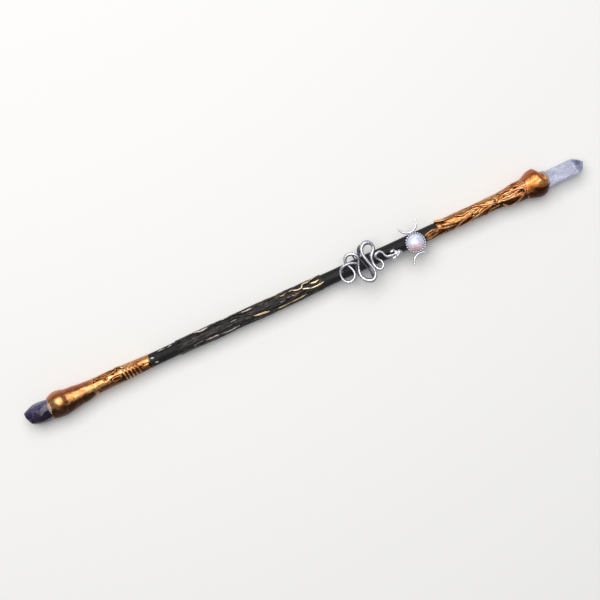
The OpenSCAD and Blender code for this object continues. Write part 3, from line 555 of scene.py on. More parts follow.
def quartz_glass(p):
    """Natural quartz: milky veils in pale lilac glass, and growth lines across its faces."""
    clouds = p.noise((6, 3.5, 3.5), detail=5, roughness=0.55, distortion=1.0)
    wisps = p.noise((3, 0.8, 0.8), detail=6, roughness=0.65, distortion=0.8, offset=(2, 7, 1))
    lines = p.noise((0.3, 6, 6), detail=3)
    veil = p.level(p.plus(p.times(clouds, 0.65), p.times(wisps, 0.35)), 0, 1, 0.25, 0.75)
    milk = p.ramp(veil, (0.0, (0.23, 0.25, 0.39)), (0.5, (0.37, 0.39, 0.58)), (1.0, (0.62, 0.64, 0.83)))
    # A painted dark reflection on the upper side of the tip
    low, high = mm_box("quartz_point")
    middle = np.array([high[0] - 3.2, (low[1] + high[1]) / 2 + 1.6, high[2] - 1])
    away = p.add("ShaderNodeVectorMath", {0: p.place, 1: tuple(middle * MM)}, operation="DISTANCE")
    painted_dark_reflection = p.level(away.outputs["Value"], 0.8, 0, 1.0 * MM, 3.2 * MM)
    p.set(Base_Color=p.mix(painted_dark_reflection, milk, (0.085, 0.095, 0.15)))
    p.set(Transmission_Weight=p.level(veil, 0.35, 0.15), IOR=1.54)
    p.set(Subsurface_Weight=0.3, Subsurface_Scale=0.003, Subsurface_Radius=(0.8, 0.9, 1.0))
    p.set(Roughness=p.rough(wisps, 0.10, 0.30), Coat_Weight=0.35, Coat_Roughness=0.08)
    under = p.bump(lines, 0.03, 0.35)
    p.bump(wisps, 0.05, 0.3, under=under)


def amethyst_glass(p):
    """Dark rough amethyst: almost black purple, with lilac grey in patches, and painted light that makes
    its +Y side lighter.
    """
    zones = p.noise((4, 3, 3), detail=5, roughness=0.6, distortion=0.8)
    fine = p.noise(0.9, detail=5, roughness=0.62)
    tone = p.plus(p.times(zones, 0.7), p.times(fine, 0.3))
    split = p.add("ShaderNodeSeparateXYZ", {0: p.place})
    low, high = mm_box("amethyst_point")
    # Painted light: the +Y side is made lighter
    painted_upper_light = p.level(split.outputs["Y"], -0.14, 0.16, float(low[1] + 3) * MM, float(high[1] - 2) * MM)
    tone = p.plus(tone, painted_upper_light)
    base = p.ramp(tone, (0.36, (0.006, 0.002, 0.012)), (0.52, (0.020, 0.008, 0.044)),
                  (0.74, (0.11, 0.10, 0.21)))
    p.set(Base_Color=base, Transmission_Weight=p.level(tone, 0.05, 0.3, 0.45, 0.65), IOR=1.55)
    p.set(Roughness=p.rough(fine, 0.2, 0.4), Coat_Weight=0.2, Coat_Roughness=0.15,
          Specular_IOR_Level=0.35)
    p.bump(fine, 0.06, 0.35)


def cabochon_glass(p):
    """Pearly coated glass with a painted sheen that turns from ice blue to rose across the stone, and
    painted white glints.
    """
    low, high = mm_box("moon_cabochon")
    across = p.add("ShaderNodeMapping", {"Vector": p.place, "Location": tuple(-(low + high) / 2 * MM)})
    split = p.add("ShaderNodeSeparateXYZ", {0: across.outputs["Vector"]})
    # Painted sheen: ice blue towards +Y turning to rose towards -Y, broken by noise
    slope = 1 / (10 * MM)
    sheen_drift = p.plus(p.times(split.outputs["Y"], slope), p.times(split.outputs["X"], 0.3 * slope))
    sheen_drift = p.plus(p.plus(sheen_drift, 0.5), p.about(p.noise(2.2, detail=3), 0.45))
    painted_sheen_hue = p.ramp(sheen_drift, (0.10, (0.60, 0.38, 0.43)), (0.34, (0.66, 0.53, 0.63)), (0.52, (0.64, 0.63, 0.78)),
                 (0.72, (0.54, 0.66, 0.82)), (0.9, (0.66, 0.70, 0.84)))
    # Painted white glints
    painted_glints = p.level(p.cells((1.1, 1.9, 1.5)), 0.75, 0, 0.12, 0.42)
    p.set(Base_Color=p.mix(painted_glints, painted_sheen_hue, (0.96, 0.96, 1.0)), IOR=1.6, Coat_Weight=0.9, Coat_Roughness=0.05)
    p.set(Roughness=p.rough(p.noise(1.5, detail=2), 0.10, 0.24))
    p.set(Subsurface_Weight=0.15, Subsurface_Scale=0.002)
    p.bump(p.noise(0.9, detail=3), 0.03, 0.3)


def glue(p, colour, clear):
    """Set glue with soft blobs; clear is the share of light that it lets through."""
    blobs = p.noise(1.4, detail=3)
    p.set(Base_Color=p.ramp(blobs, (0.35, tuple(0.75 * c for c in colour)), (0.65, colour)))
    p.set(Roughness=p.rough(blobs, 0.15, 0.35), Transmission_Weight=clear, IOR=1.48)
    p.bump(blobs, 0.1, 0.4)


def painted(name, fill, *look):
    paint = Paint(name)
    fill(paint, *look)
    return paint.material


# The paint of each material slot, and its look. For the gilded ones, that is the colours of the
# hollows and painted shade, and of the deep, middle and light wax, the roughness, and the grain in mm.
LOOKS = {
    "black_paint": (black_paint,),
    "brushed_bark": (brushed_bark,),
    "gold_clay": (gilded, (0.055, 0.020, 0.009), (0.22, 0.075, 0.025), (0.48, 0.215, 0.080),
                  (0.68, 0.40, 0.17), 0.33, 0.9),
    "gold_relief": (gilded, (0.045, 0.014, 0.006), (0.24, 0.075, 0.024), (0.57, 0.245, 0.085),
                    (0.86, 0.53, 0.26), 0.33, 0.7),
    "copper_clay": (gilded, (0.050, 0.012, 0.005), (0.28, 0.065, 0.018), (0.58, 0.20, 0.055),
                    (0.78, 0.39, 0.14), 0.31, 0.9),
    "pale_daub": (gilded, (0.04, 0.03, 0.03), (0.26, 0.22, 0.19), (0.42, 0.40, 0.36),
                  (0.62, 0.64, 0.56), 0.45, 0.5),
    "antique_silver": (antique_silver,),
    "quartz": (quartz_glass,),
    "amethyst": (amethyst_glass,),
    "cabochon": (cabochon_glass,),
    "clear_glue": (glue, (0.66, 0.47, 0.36), 0.35),
    "dark_glue": (glue, (0.012, 0.012, 0.013), 0.0),
}
PAINTS = {slot: painted(slot, *look) for slot, look in LOOKS.items()}


# ---- Strands ----

STRAND_PITCH = 0.33
STRAND_HEIGHT = 0.85
STRAND_SUNK = 0.35
BASE_SHARE = 0.85
CROWN_STEPS = 10


def oval(x, angle, span_x, span_angle, width, count=28):
    """A closed strand route, as [x, angle, half width, lift]."""
    return [
        [x + span_x * math.cos(t), angle + span_angle * math.sin(t), width * (1 + 0.2 * math.cos(2 * t)), 0]
        for t in np.arange(count) * 2 * np.pi / count
    ]


def painted_shade_side(spot):
    """How much painted shade a spot gets: the side towards -Y is darkened, with a noisy edge."""
    angle = np.degrees(np.arctan2(spot[..., 1], spot[..., 2])) + 14 * fbm(spot, (6, 3, 3), 3, 90)
    return ease(-8, -32, angle) * ease(-155, -110, angle)


def rose_near_collar(x):
    """The redder wax of the tip collar was rubbed a little way over the relief."""
    return 0.5 * ease(126, 145, x)


def strand_part(route, seed, loop=False, gilt=None, warmth=1.0, breadth=1.0):
    """(rings, marks, loop) of a half-round strand, uneven in width and height as if laid by hand."""
    table = [list(entry) + [0] * (4 - len(entry)) for entry in route]
    table = smooth_path(table + table[:1] if loop else table, 8)
    line = on_skin(table[:, 0], table[:, 1], np.interp(table[:, 0], *SKIN.T))
    line, table, _ = even(line, table, STRAND_PITCH)
    if loop:
        line, table = line[:-1], table[:-1]
    out = on_skin(0 * table[:, 0], table[:, 1], 1.0)
    side = units(np.cross(out, headings(line, loop)))
    width = table[:, 2] * (breadth + 0.22 * fbm(line, 2.5, 2, seed))
    height = table[:, 2] * STRAND_HEIGHT * (1 + 0.25 * fbm(line + 40, 2.2, 2, seed))
    turn = np.pi * np.arange(CROWN_STEPS + 1) / CROWN_STEPS
    ridge = np.sin(turn) ** 0.8
    crown = (
        line[:, None]
        + (width[:, None] * np.cos(turn))[..., None] * side[:, None]
        + (height[:, None] * ridge + table[:, 3:])[..., None] * out[:, None]
    )
    edge = BASE_SHARE * width[:, None] * side
    base = np.stack([line - edge - STRAND_SUNK * out, line + edge - STRAND_SUNK * out], 1)
    rings = np.concatenate([crown, base], 1)
    rings += 0.07 * fbm(rings, (2.4, 1.0, 1.0), 3, seed + 9)[..., None] * out[:, None]
    across = np.concatenate([ridge, [0, 0]])
    caught = along_table(line[:, 0], gilt) if gilt else np.ones(len(line))
    worn = 1 + 0.4 * fbm(rings, (2.5, 0.7, 0.7), 3, seed + 4)
    marks = {
        # Dark at each strand's foot, and painted shade on the -Y side of strands with no gilt table
        "recess_and_shade": np.clip((1 - across[None, :]) ** 1.5 + 0.4 * painted_shade_side(rings) * (gilt is None), 0, 1),
        "gilt": caught[:, None] * across[None, :] ** 3.5 * worn,
        "warmth": np.full(rings.shape[:2], warmth),
        "rose_and_shade": rose_near_collar(rings[..., 0]),
    }
    return rings, marks, loop


def strand_piece(name, routes, slot, gilt=None, warmth=1.0, loop=False, breadth=1.0):
    seeds = itertools.count(len(name), 3)
    parts = [strand_part(route, seed, loop, gilt, warmth, breadth) for route, seed in zip(routes, seeds)]
    return joined(name, parts, slot)


def nearest(points, routes, to_edge=True):
    """Distance from points on the skin to the nearest route: mm to its edge, or in its half widths."""
    found = np.full(points.shape[:-1], 9.0)
    for route in routes:
        fine = smooth_path([list(entry)[:3] for entry in route], 6)
        line = on_skin(fine[:, 0], fine[:, 1], np.interp(fine[:, 0], *SKIN.T))
        near = np.abs(points[:, :1, 0] - line[:, 0].mean()) < np.ptp(line[:, 0]) / 2 + 4
        rows = np.where(near[:, 0])[0]
        for centre, width in zip(line, fine[:, 2]):
            gap = np.linalg.norm(points[rows] - centre, axis=-1)
            found[rows] = np.minimum(found[rows], gap - width if to_edge else gap / width)
    return found


# ---- Branch and sleeves ----

TENON_R = 3.2
SLEEVE_PITCH = 0.3
SLEEVE_SIDES = 108
# How far a sleeve runs on under the collar that covers its end
COVERED = 1.2


def turned_grid(stations, sides):
    """Station and angle tables of a grid round the branch."""
    return np.meshgrid(np.array(stations, float), np.arange(sides) * 360 / sides, indexing="ij")


def branch():
    """The painted stick, with the low swellings and small knots of real wood."""
    x, angle = turned_grid(np.linspace(core_low[0], core_high[0], 620), 64)
    spot = on_skin(x, angle, BRANCH_R)
    shown = ease(-146, -144, x) * (1 - ease(144.5, 145, x))
    knots = fbm(spot, (4, 1.2, 1.2), 3, 8)
    wobble = 0.10 * fbm(spot, (14, 6, 6), 2, 4) + 0.06 * knots
    radius = TENON_R + (BRANCH_R - TENON_R) * shown + wobble * shown
    skinned("branch_core", on_skin(x, angle, radius), "black_paint")


def sleeve(name, profile, routes, grooves, slot, streak, depth, crease, seed, ends, gilt=0.0, worn=None):
    """A sculpted sleeve on the branch, pressed in along its grooves and beside each strand.

    streak is the grain of its long lumps and depth their height; crease is the depth of the thin
    natural grooves between them. ends says which ends show. worn(x, angle) is how much of the
    lumps and creases is left, where that isn't the same all over.
    """
    start = profile[0][0] - (0 if ends[0] else COVERED)
    stop = profile[-1][0] + (0 if ends[1] else COVERED)
    stations = np.linspace(start, stop, int((stop - start) / SLEEVE_PITCH))
    x, angle = turned_grid(stations, SLEEVE_SIDES)
    base = np.interp(x, *np.array(profile).T)
    spot = on_skin(x, angle, base)
    streaks = fbm(spot, streak, 3, seed)
    creases = bell(fbm(spot, (streak[0], 1.6, 1.6), 2, seed + 4), 0.07)
    left = worn(x, angle) if worn else 1
    beside = bell(np.maximum(nearest(spot, routes), 0), 0.35)
    pressed = np.exp(-(nearest(spot, grooves, to_edge=False) ** 2) * 0.8)
    shape = base + left * (depth * streaks - crease * creases)
    shape = shape + 0.05 * fbm(spot, (2.4, 1.0, 1.0), 3, seed + 2)
    shape -= 0.16 * beside + 0.6 * pressed
    shape = np.maximum(shape, BRANCH_R + 0.1)
    ragged = 0.5 * fbm(on_skin(0 * x, angle, 3.0), 2.2, 2, seed + 5)
    for shown, edge, sign in ((ends[0], start, 1), (ends[1], stop, -1)):
        if shown:
            shape += (BRANCH_R - 0.25 - shape) * (1 - ease(0, 0.8, sign * (x - edge) + ragged - 0.1))
    recess_and_shade = 0.6 * beside + 1.0 * pressed + left * (0.6 * creases + 0.4 * ease(0.1, -0.9, streaks))
    # Painted shade on the -Y side of the sleeves that have no gilt
    recess_and_shade += 0.72 * painted_shade_side(spot) if gilt == 0 else 0
    marks = {
        "recess_and_shade": np.clip(recess_and_shade, 0, 1),
        "gilt": np.clip(ease(0.0, 1.0, streaks) * gilt, 0, 1),
        "warmth": ease(-0.6, 0.6, fbm(spot, 9, 2, seed + 8)) * ease(-60, 0, x),
        "rose_and_shade": rose_near_collar(x),
    }
    skinned(name, on_skin(x, angle, shape), slot, marks)


def smooth_patch(x, angle):
    """Less relief on the worn patch near the start of the tip's sleeve."""
    return 1 - 0.85 * bell(x - 97, 5.5) * bell((angle + 180) % 360 - 190, 34)


def tip_fringe():
    """Thin torn gold film that runs on from the tip sleeve, under its first roots."""
    start, stop = 78.5, 88.2
    x, angle = turned_grid(np.linspace(start, stop, 40), SLEEVE_SIDES)
    spot = on_skin(x, angle, BRANCH_R)
    torn = 4.5 * fbm(on_skin(0 * x, angle, 3.0), 2.0, 2, 77) + 2.0 * fbm(spot, (3, 0.8, 0.8), 3, 78)
    lower = bell((angle + 180) % 360 - 180 + 38, 44)
    amount = ease(0.0, 0.8, (x - stop) + 9 * lower + torn)
    radius = BRANCH_R - 0.25 + amount * (0.34 + 0.10 * fbm(spot, (2.5, 0.8, 0.8), 3, 79))
    recess_and_shade = np.clip(0.55 + 0.5 * fbm(spot, (3, 0.9, 0.9), 3, 80) + 0.25 * (1 - amount), 0, 1)
    marks = {"recess_and_shade": recess_and_shade, "gilt": 0 * recess_and_shade, "warmth": 0 * recess_and_shade, "rose_and_shade": 0 * recess_and_shade}
    return on_skin(x, angle, radius), marks, False


# ---- Collars ----


COLLAR_RINGS = 110
COLLAR_SIDES = 132


def collar(name, slot, sides_table, top_table, middle_table, mouth, inner, seed, lumps, shade):
    """A smooth clay collar.

    sides_table and top_table are its radius sideways and upwards, and middle_table its sideways
    place, all along X. mouth is (x, how much further it reaches at the top, and on the +Y side).
    inner is the socket's radius, and shade is how strong its painted shade is: darker on the -Y side,
    redder on the +Y side.
    """
    mouth_x, reach_top, reach_side = mouth
    neck_x = sides_table[0][0]
    sign = math.copysign(1, mouth_x - neck_x)
    share, angle = turned_grid(np.linspace(0, 1, COLLAR_RINGS), COLLAR_SIDES)
    a = np.radians(angle)
    end = mouth_x + reach_top * np.cos(a) + reach_side * np.sin(a)
    own_x = neck_x + share * (mouth_x - neck_x)
    x = own_x + ease(0.45, 1, share) * (end - mouth_x)
    x = x + 0.8 * fbm(on_skin(0 * a, angle, 4.0), 2.6, 3, seed + 7) * ease(0.12, 0, share)
    sideways, upwards = along_table(own_x, sides_table), along_table(own_x, top_table)
    radius = np.hypot(sideways * np.sin(a), upwards * np.cos(a))
    spot = on_skin(x, angle, radius)
    swell = fbm(spot, 5, 2, seed)
    radius = radius + lumps * ease(0, 0.15, share) * (swell + 0.3 * fbm(spot, 1.6, 3, seed + 3))
    rim_r = radius[-1]
    # Painted shade on the -Y side, stronger where the clay swells; it is added to darker shallow dips
    shaded = (shade + 0.3 * swell) * painted_shade_side(spot) * ease(0, 0.1, share)
    hollow_and_painted_shade = np.clip(ease(-0.05, -0.8, swell) * 0.35 + shaded, 0, 1)
    # The lip rolls in over the socket's edge, and then the socket's wall goes back inside
    rolls, marks = [], []
    for t in np.linspace(0.15, 1, 7):
        turn = t * np.pi / 2
        rolls.append((x[-1] + sign * 0.5 * np.sin(2 * turn), rim_r - (rim_r - inner) * (1 - np.cos(turn))))
        marks.append(0.15 + 0.5 * t)
    for back in (1.2, 2.6, 4):
        rolls.append((x[-1] - sign * back, np.full(rim_r.shape, inner)))
        marks.append(0.95)
    x = np.vstack([x, [roll[0] for roll in rolls]])
    radius = np.vstack([radius, [roll[1] for roll in rolls]])
    angle = np.vstack([angle, np.repeat(angle[:1], len(rolls), 0)])
    recess_and_shade = np.vstack([hollow_and_painted_shade, np.repeat(np.array(marks)[:, None], angle.shape[1], 1)])
    # A redder, darker tone painted on the +Y side beyond the highlight, as painted shade
    turned = (angle + 180) % 360 - 180 + 14 * fbm(on_skin(x, angle, radius), (5, 3, 3), 3, seed + 6)
    rose_and_shade = shade * ease(14, 52, turned) * ease(175, 140, turned)
    rings = on_skin(x, angle, radius)
    rings[..., 1] += along_table(x, middle_table)
    rings[..., 2] = np.maximum(rings[..., 2], -AXIS[2])
    skinned(name, rings, slot, {"recess_and_shade": recess_and_shade, "rose_and_shade": rose_and_shade})


def meniscus(name, x, back_x, inner, outer, middle_y, bulge, seed):
    """A lumpy ring of glue between a crystal and its socket, swollen towards the open side."""
    sign = math.copysign(1, x - back_x)
    turn, angle = np.meshgrid(np.linspace(0, np.pi, 12), np.arange(72) * 5.0, indexing="ij")
    swell = 1 + 0.6 * fbm(on_skin(0 * angle, angle, 4.0), 3, 2, seed)
    front = x + sign * bulge * swell * np.sin(turn) * 1.4 - sign * 0.4
    radius = inner + (outer - inner) * (1 - np.cos(turn)) / 2
    wall = np.ones((1, angle.shape[1]))
    x = np.vstack([front, back_x * wall, back_x * wall])
    radius = np.vstack([radius, outer * wall, inner * wall])
    rings = on_skin(x, np.repeat(angle[:1], len(x), 0), radius)
    rings[..., 1] += middle_y
    skinned(name, rings, "clear_glue", loop=True)


SWIRL_LONG = oval(-129, 52, 6.8, 20, 0.5)
SWIRL_EYES = [oval(-123.6, -17, 3, 14, 0.5, 20), oval(-130.3, 14, 1.1, 12, 0.3, 14)]
BUTT_STRANDS = [SWIRL_LONG, *SWIRL_EYES, *BUTT_RIBS, *BUTT_BANDS]

branch()
sleeve("butt_relief_sleeve", BUTT_SKIN, BUTT_STRANDS, BUTT_GROOVES, "gold_relief",
       (7, 2.5, 2.5), 0.10, 0.08, 21, (False, True))
sleeve("bark_sleeve", [[-84.2, BARK_R], [12.5, BARK_R]], BARK_RIDGES, BARK_GROOVES, "brushed_bark",
       (9, 0.9, 0.9), 0.32, 0.2, 31, (True, True), gilt=0.54)
sleeve("tip_relief_sleeve", TIP_SKIN, [*TIP_ROOTS, TIP_EYE], TIP_GROOVES, "gold_relief",
       (8, 1.7, 1.7), 0.24, 0.22, 41, (True, False), worn=smooth_patch)
collar(
    "butt_collar", "gold_clay",
    [[-137.6, 4.95], [-140, 5.1], [-144, 5.55], [-148, 6.05], [-152, 6.6], [-156, 7.1], [-158, 7.5],
     [-160, 7.85], [-162, 8.05], [-164, 7.95], [-166, 7.4], [-167.8, 6.6]],
    [[-137.6, 4.95], [-144, 5.3], [-150, 5.7], [-154, 5.95], [-156, 6.3], [-157.5, 7.1], [-159.5, 8],
     [-162, 8.3], [-164.5, 7.9], [-166.5, 7.0], [-167.8, 6.5]],
    [[-137.6, 0], [-140, -0.3], [-144, -0.55], [-152, -0.7], [-157, -0.8], [-160, -0.7], [-163, -0.45],
     [-166, -0.5], [-168, -0.7]],
    (-168.0, 1.4, 0.7), inner=5.9, seed=51, lumps=0.16, shade=0.85,
)
collar(
    "tip_collar", "copper_clay",
    [[144.6, 6.1], [146, 6.75], [147.5, 7.45], [149, 8.1], [150.5, 8.6], [152, 8.9], [153.5, 8.95],
     [154.7, 8.7], [155.7, 8.1], [156.5, 7.2], [157.2, 6.3], [157.8, 5.6]],
    [[144.6, 5.9], [146, 6.4], [148, 6.9], [150, 7.6], [152, 8.2], [154, 8.5], [155.6, 8.3], [156.8, 7.6],
     [157.4, 6.9], [157.8, 5.9]],
    [[144.6, 0], [147, 0.2], [150, 0.3], [154, 0.3], [156, 0.4], [158, 0.1]],
    (158.3, 0.3, -1.5), inner=5.0, seed=61, lumps=0.14, shade=0.95,
)
meniscus("amethyst_glue_bed", -167.6, -160, 5.2, 6.4, -0.6, 0.7, 71)
meniscus("quartz_glue_bed", 159.5, 150, 3.9, 5.7, -0.4, 0.8, 72)
for number, (route, gilt, warmth) in enumerate(zip(BARK_RIDGES, BARK_GILT, BARK_WARMTH), 1):
    strand_piece(f"bark_ridge_{number}", [route], "brushed_bark", gilt, warmth)
for number, route in enumerate(TIP_ROOTS, 1):
    if number != 2:
        strand_piece(f"tip_root_{number}", [route], "gold_relief", breadth=1.12)
# The second root grows out of the torn film
joined("tip_root_2", [strand_part(TIP_ROOTS[1], 13), tip_fringe()], "gold_relief")
strand_piece("tip_eye_loop", [TIP_EYE], "gold_relief", loop=True, breadth=1.05)
strand_piece("butt_swirl_long", [SWIRL_LONG], "gold_relief", loop=True)
strand_piece("butt_swirl_eye", SWIRL_EYES, "gold_relief", loop=True)
strand_piece("butt_ring_ribs", [*BUTT_RIBS, *BUTT_BANDS], "gold_relief")
strand_piece("butt_end_daubs", BUTT_DAUBS, "pale_daub")
strand_piece("lower_bark_flecks", BARK_FLECKS, "brushed_bark", warmth=0.3)


# ---- Crystals ----


def hull_piece(name, points, slot, bevel):
    """The faceted solid round the points, with its edges worn by a small bevel."""
    shape = bmesh.new()
    for point in points:
        shape.verts.new(point)
    made = bmesh.ops.convex_hull(shape, input=shape.verts)
    loose = [v for v in made["geom_interior"] if isinstance(v, bmesh.types.BMVert)]
    bmesh.ops.delete(shape, geom=loose, context="VERTS")
    bmesh.ops.dissolve_limit(shape, angle_limit=math.radians(1), verts=shape.verts, edges=shape.edges)
    bmesh.ops.bevel(shape, geom=list(shape.edges), offset=bevel, segments=2, profile=0.6,
                    affect="EDGES", clamp_overlap=True)
    shape.verts.index_update()
    mesh_points = np.array([v.co for v in shape.verts])
    faces = [[v.index for v in f.verts] for f in shape.faces]
    shape.free()
    return piece(name, mesh_points, faces, slot, smooth=False)


def quartz():
    """A flattened hexagonal point with a broad top face; its uneven tip faces meet off the middle."""
    low, high = mm_box("quartz_point")
    y, z = ((low + high) / 2 - AXIS)[1:]
    # Each edge of the prism: its sideways and upward place, and where its shoulder is
    edges = [(5.1, -0.4, 178.6), (4.3, 3.5, 177.2), (-4.3, 3.9, 178.9), (-5.25, -0.2, 180.2),
             (-3.8, -4.0, 177.4), (3.9, -3.9, 178.2)]
    points = []
    for side, up, shoulder in edges:
        for x, share in ((low[0] + 1, 1.0), (162, 1.0), (167, 0.955), (shoulder, 0.975)):
            points.append((x, y + side * share + 0.02 * (x - 165), z + up * share))
    # The blunt tip, and the corners where its faces turn
    tip = [(high[0], 0.9, 0.9), (high[0] - 0.5, -0.6, 0.2), (high[0] - 0.3, 0.3, -0.6)]
    corners = [(180.9, 3.4, 1.2), (182.7, 1.8, 0.6), (180.8, -4.3, 1.0), (182.6, -2.6, 0.4),
               (181.6, 2.2, -1.8), (181.8, -2.2, -1.6)]
    points += [(x, y + side, z + up) for x, side, up in tip + corners]
    hull_piece("quartz_point", points, "quartz", 0.2)


def amethyst():
    """A stubby rough point: facets cut from a rounded, blunt lump."""
    low, high = mm_box("amethyst_point")
    y, z = ((low + high) / 2 - AXIS)[1:]
    random = np.random.default_rng(7)
    rounds = [(-161.5, 5.2, 0), (-166, 6.0, 0), (-170, 6.5, -0.1), (-173.5, 6.65, 0), (-177, 6.45, 0.1),
              (-180.2, 5.5, 0.3), (-182.6, 3.9, 0.7)]
    points = []
    for x, radius, up in rounds:
        count = 10 if radius > 4 else 7
        start = random.uniform(0, 2 * math.pi)
        for k in range(count):
            a = start + 2 * math.pi * (k + random.uniform(-0.25, 0.25)) / count
            r = radius * random.uniform(0.95, 1.02)
            points.append((x + random.uniform(-0.8, 0.8), y + up + r * math.sin(a), z + r * math.cos(a)))
    tip = [(low[0], 2.2, 0.4), (low[0] + 0.4, 1.2, -0.8), (low[0] + 0.5, 2.8, -0.7)]
    points += [(x, y + side, z + up) for x, side, up in tip]
    hull_piece("amethyst_point", points, "amethyst", 0.14)


quartz()
amethyst()


# ---- Snake charm ----

SNAKE_PITCH = 0.2
SNAKE_SIDES = 24
SCALE_LENGTH = 0.9
SCALE_ROWS = 6


def snake_part(table, painted_shade):
    """(rings, marks, loop) of a scaly body along [x, y, height, radius] entries; the last argument darkens
    all of it as painted shade.
    """
    route = smooth_path(table, 10)
    line, size, along = even(route[:, :3] + [0, 0, BRANCH_R], route[:, 3:], SNAKE_PITCH)
    caps = ease(0, 0.5, along) * ease(along[-1], along[-1] - 0.5, along)
    size = 1.08 * size[:, 0] * (0.25 + 0.75 * caps)
    turn = (np.arange(SNAKE_SIDES) + 0.5) * 2 * np.pi / SNAKE_SIDES
    u = along[:, None] / SCALE_LENGTH
    v = SCALE_ROWS * turn[None, :] / (2 * np.pi)
    scale = np.abs(np.sin(np.pi * (u + v))) * np.abs(np.sin(np.pi * (u - v)))
    top = ease(-0.5, 0.1, np.sin(turn))[None, :]
    radius = size[:, None] * (0.96 + 0.09 * (scale**0.5 - 0.4) * top)
    rings = bar_rings(line, radius, turn, np.where(np.sin(turn) < 0, 0.8, 1.0))
    # Painted shade on the underside of the body
    under = ease(0.5, -0.3, np.sin(turn))[None, :]
    recess_and_shade = np.clip((1 - scale**0.45) * top * 0.75 + 0.85 * under + painted_shade, 0, 1)
    return rings, {"recess_and_shade": recess_and_shade}, False


def blobs_mesh(blobs, voxel, smooth_steps):
    """Points and faces of the smooth union of ellipsoids, each (middle, radii), in mm."""
    shape = bmesh.new()
    for middle, radii in blobs:
        place = Matrix.Translation(middle) @ Matrix.Diagonal((*radii, 1))
        bmesh.ops.create_icosphere(shape, subdivisions=4, radius=1, matrix=place)
    mesh = bpy.data.meshes.new("blobs")
    shape.to_mesh(mesh)
    shape.free()
    lump = bpy.data.objects.new("blobs", mesh)
    bpy.context.scene.collection.objects.link(lump)
    remesh = lump.modifiers.new("remesh", "REMESH")
    remesh.mode = "VOXEL"
    remesh.voxel_size = voxel
    even_out = lump.modifiers.new("smooth", "SMOOTH")
    even_out.factor = 0.5
    even_out.iterations = smooth_steps
    final = lump.evaluated_get(bpy.context.evaluated_depsgraph_get()).to_mesh()
    points = np.array([v.co for v in final.vertices])
    faces = [list(f.vertices) for f in final.polygons]
    bpy.data.objects.remove(lump)
    return points, faces


def dent(points, x, y, span_x, span_y):
    """How deep each point lies in a soft dent seen from above: 1 in its middle, 0 outside."""
    return np.exp(-(((points[:, 0] - x) / span_x) ** 2 + ((points[:, 1] - y) / span_y) ** 2) ** 1.5)


def snake_head():
    """A broad viper's head with two jaw lobes, brows, eyes, nostrils, and a slot behind one jaw."""
    top = BRANCH_R
    # Lobes: middle, with its height over the branch, and radii
    lobes = [
        ((56.3, -2.95, 1.7), (1.4, 1.2, 1.0)),
        ((58.9, -3.1, 1.75), (2.2, 2.0, 1.25)),
        ((57.3, -0.95, 1.75), (1.8, 0.95, 1.1)),
        ((57.1, -5.0, 1.75), (1.8, 1.05, 1.1)),
        ((60.6, -3.3, 1.7), (1.9, 1.8, 1.05)),
        ((61.9, -3.6, 1.55), (1.1, 1.35, 0.85)),
        ((59.7, -1.9, 2.55), (1.0, 0.45, 0.5)),
        ((59.6, -4.5, 2.55), (1.0, 0.45, 0.5)),
        ((61.6, -3.5, 2.25), (1.0, 0.35, 0.3)),
    ]
    blobs = [((x, y, top + up), radii) for (x, y, up), radii in lobes]
    points, faces = blobs_mesh(blobs, 0.14, 3)
    slot = dent(points, 57.0, -2.05, 1.1, 0.45)
    other = dent(points, 57.2, -3.95, 0.9, 0.3)
    eyes = dent(points, 60.1, -1.7, 0.42, 0.36) + dent(points, 60.0, -4.85, 0.42, 0.36)
    nostrils = dent(points, 62.3, -3.0, 0.22, 0.2) + dent(points, 62.3, -4.15, 0.22, 0.2)
    upper = ease(top + 1.6, top + 2.2, points[:, 2])
    scales = fbm(points, 0.6, 2, 5)
    points[:, 2] -= upper * (1.2 * slot + 0.45 * other + 0.3 * eyes + 0.3 * nostrils - 0.06 * scales)
    recess_and_shade = 1.5 * slot + 0.7 * other + 0.8 * eyes + nostrils + 0.35 * ease(0.2, -0.7, scales)
    # Painted shade on the low part of the head, near the branch
    recess_and_shade = np.maximum(recess_and_shade, ease(top + 1.5, top + 0.8, points[:, 2]) * 0.85)
    return points, faces, {"recess_and_shade": np.clip(recess_and_shade, 0, 1)}


# The lower bars, which pass beneath the body, get painted shade
parts = [snake_part(SNAKE, 0.0)] + [snake_part(bar, 0.55) for bar in SNAKE_BARS]
joined("snake_charm", parts, "antique_silver", snake_head())


# ---- Moon charm ----

setting_low, setting_high = mm_box("moon_setting")
MOON = (setting_low + setting_high) / 2 - AXIS
MOON[2] = setting_low[2] - AXIS[2]
SCALLOPS = 24
SCALLOP_POINTS = 10
CRESCENT_R = 5.85
CRESCENT_UP = 0.9
CRESCENT_SIDES = 20


def around_moon(radius, angle, height):
    """Points round the moon's middle; angle in radians from +X towards +Y."""
    height = np.broadcast_to(height, np.shape(radius * angle))
    around = [MOON[0] + radius * np.cos(angle), MOON[1] + radius * np.sin(angle), MOON[2] + height]
    return np.stack(around, -1)


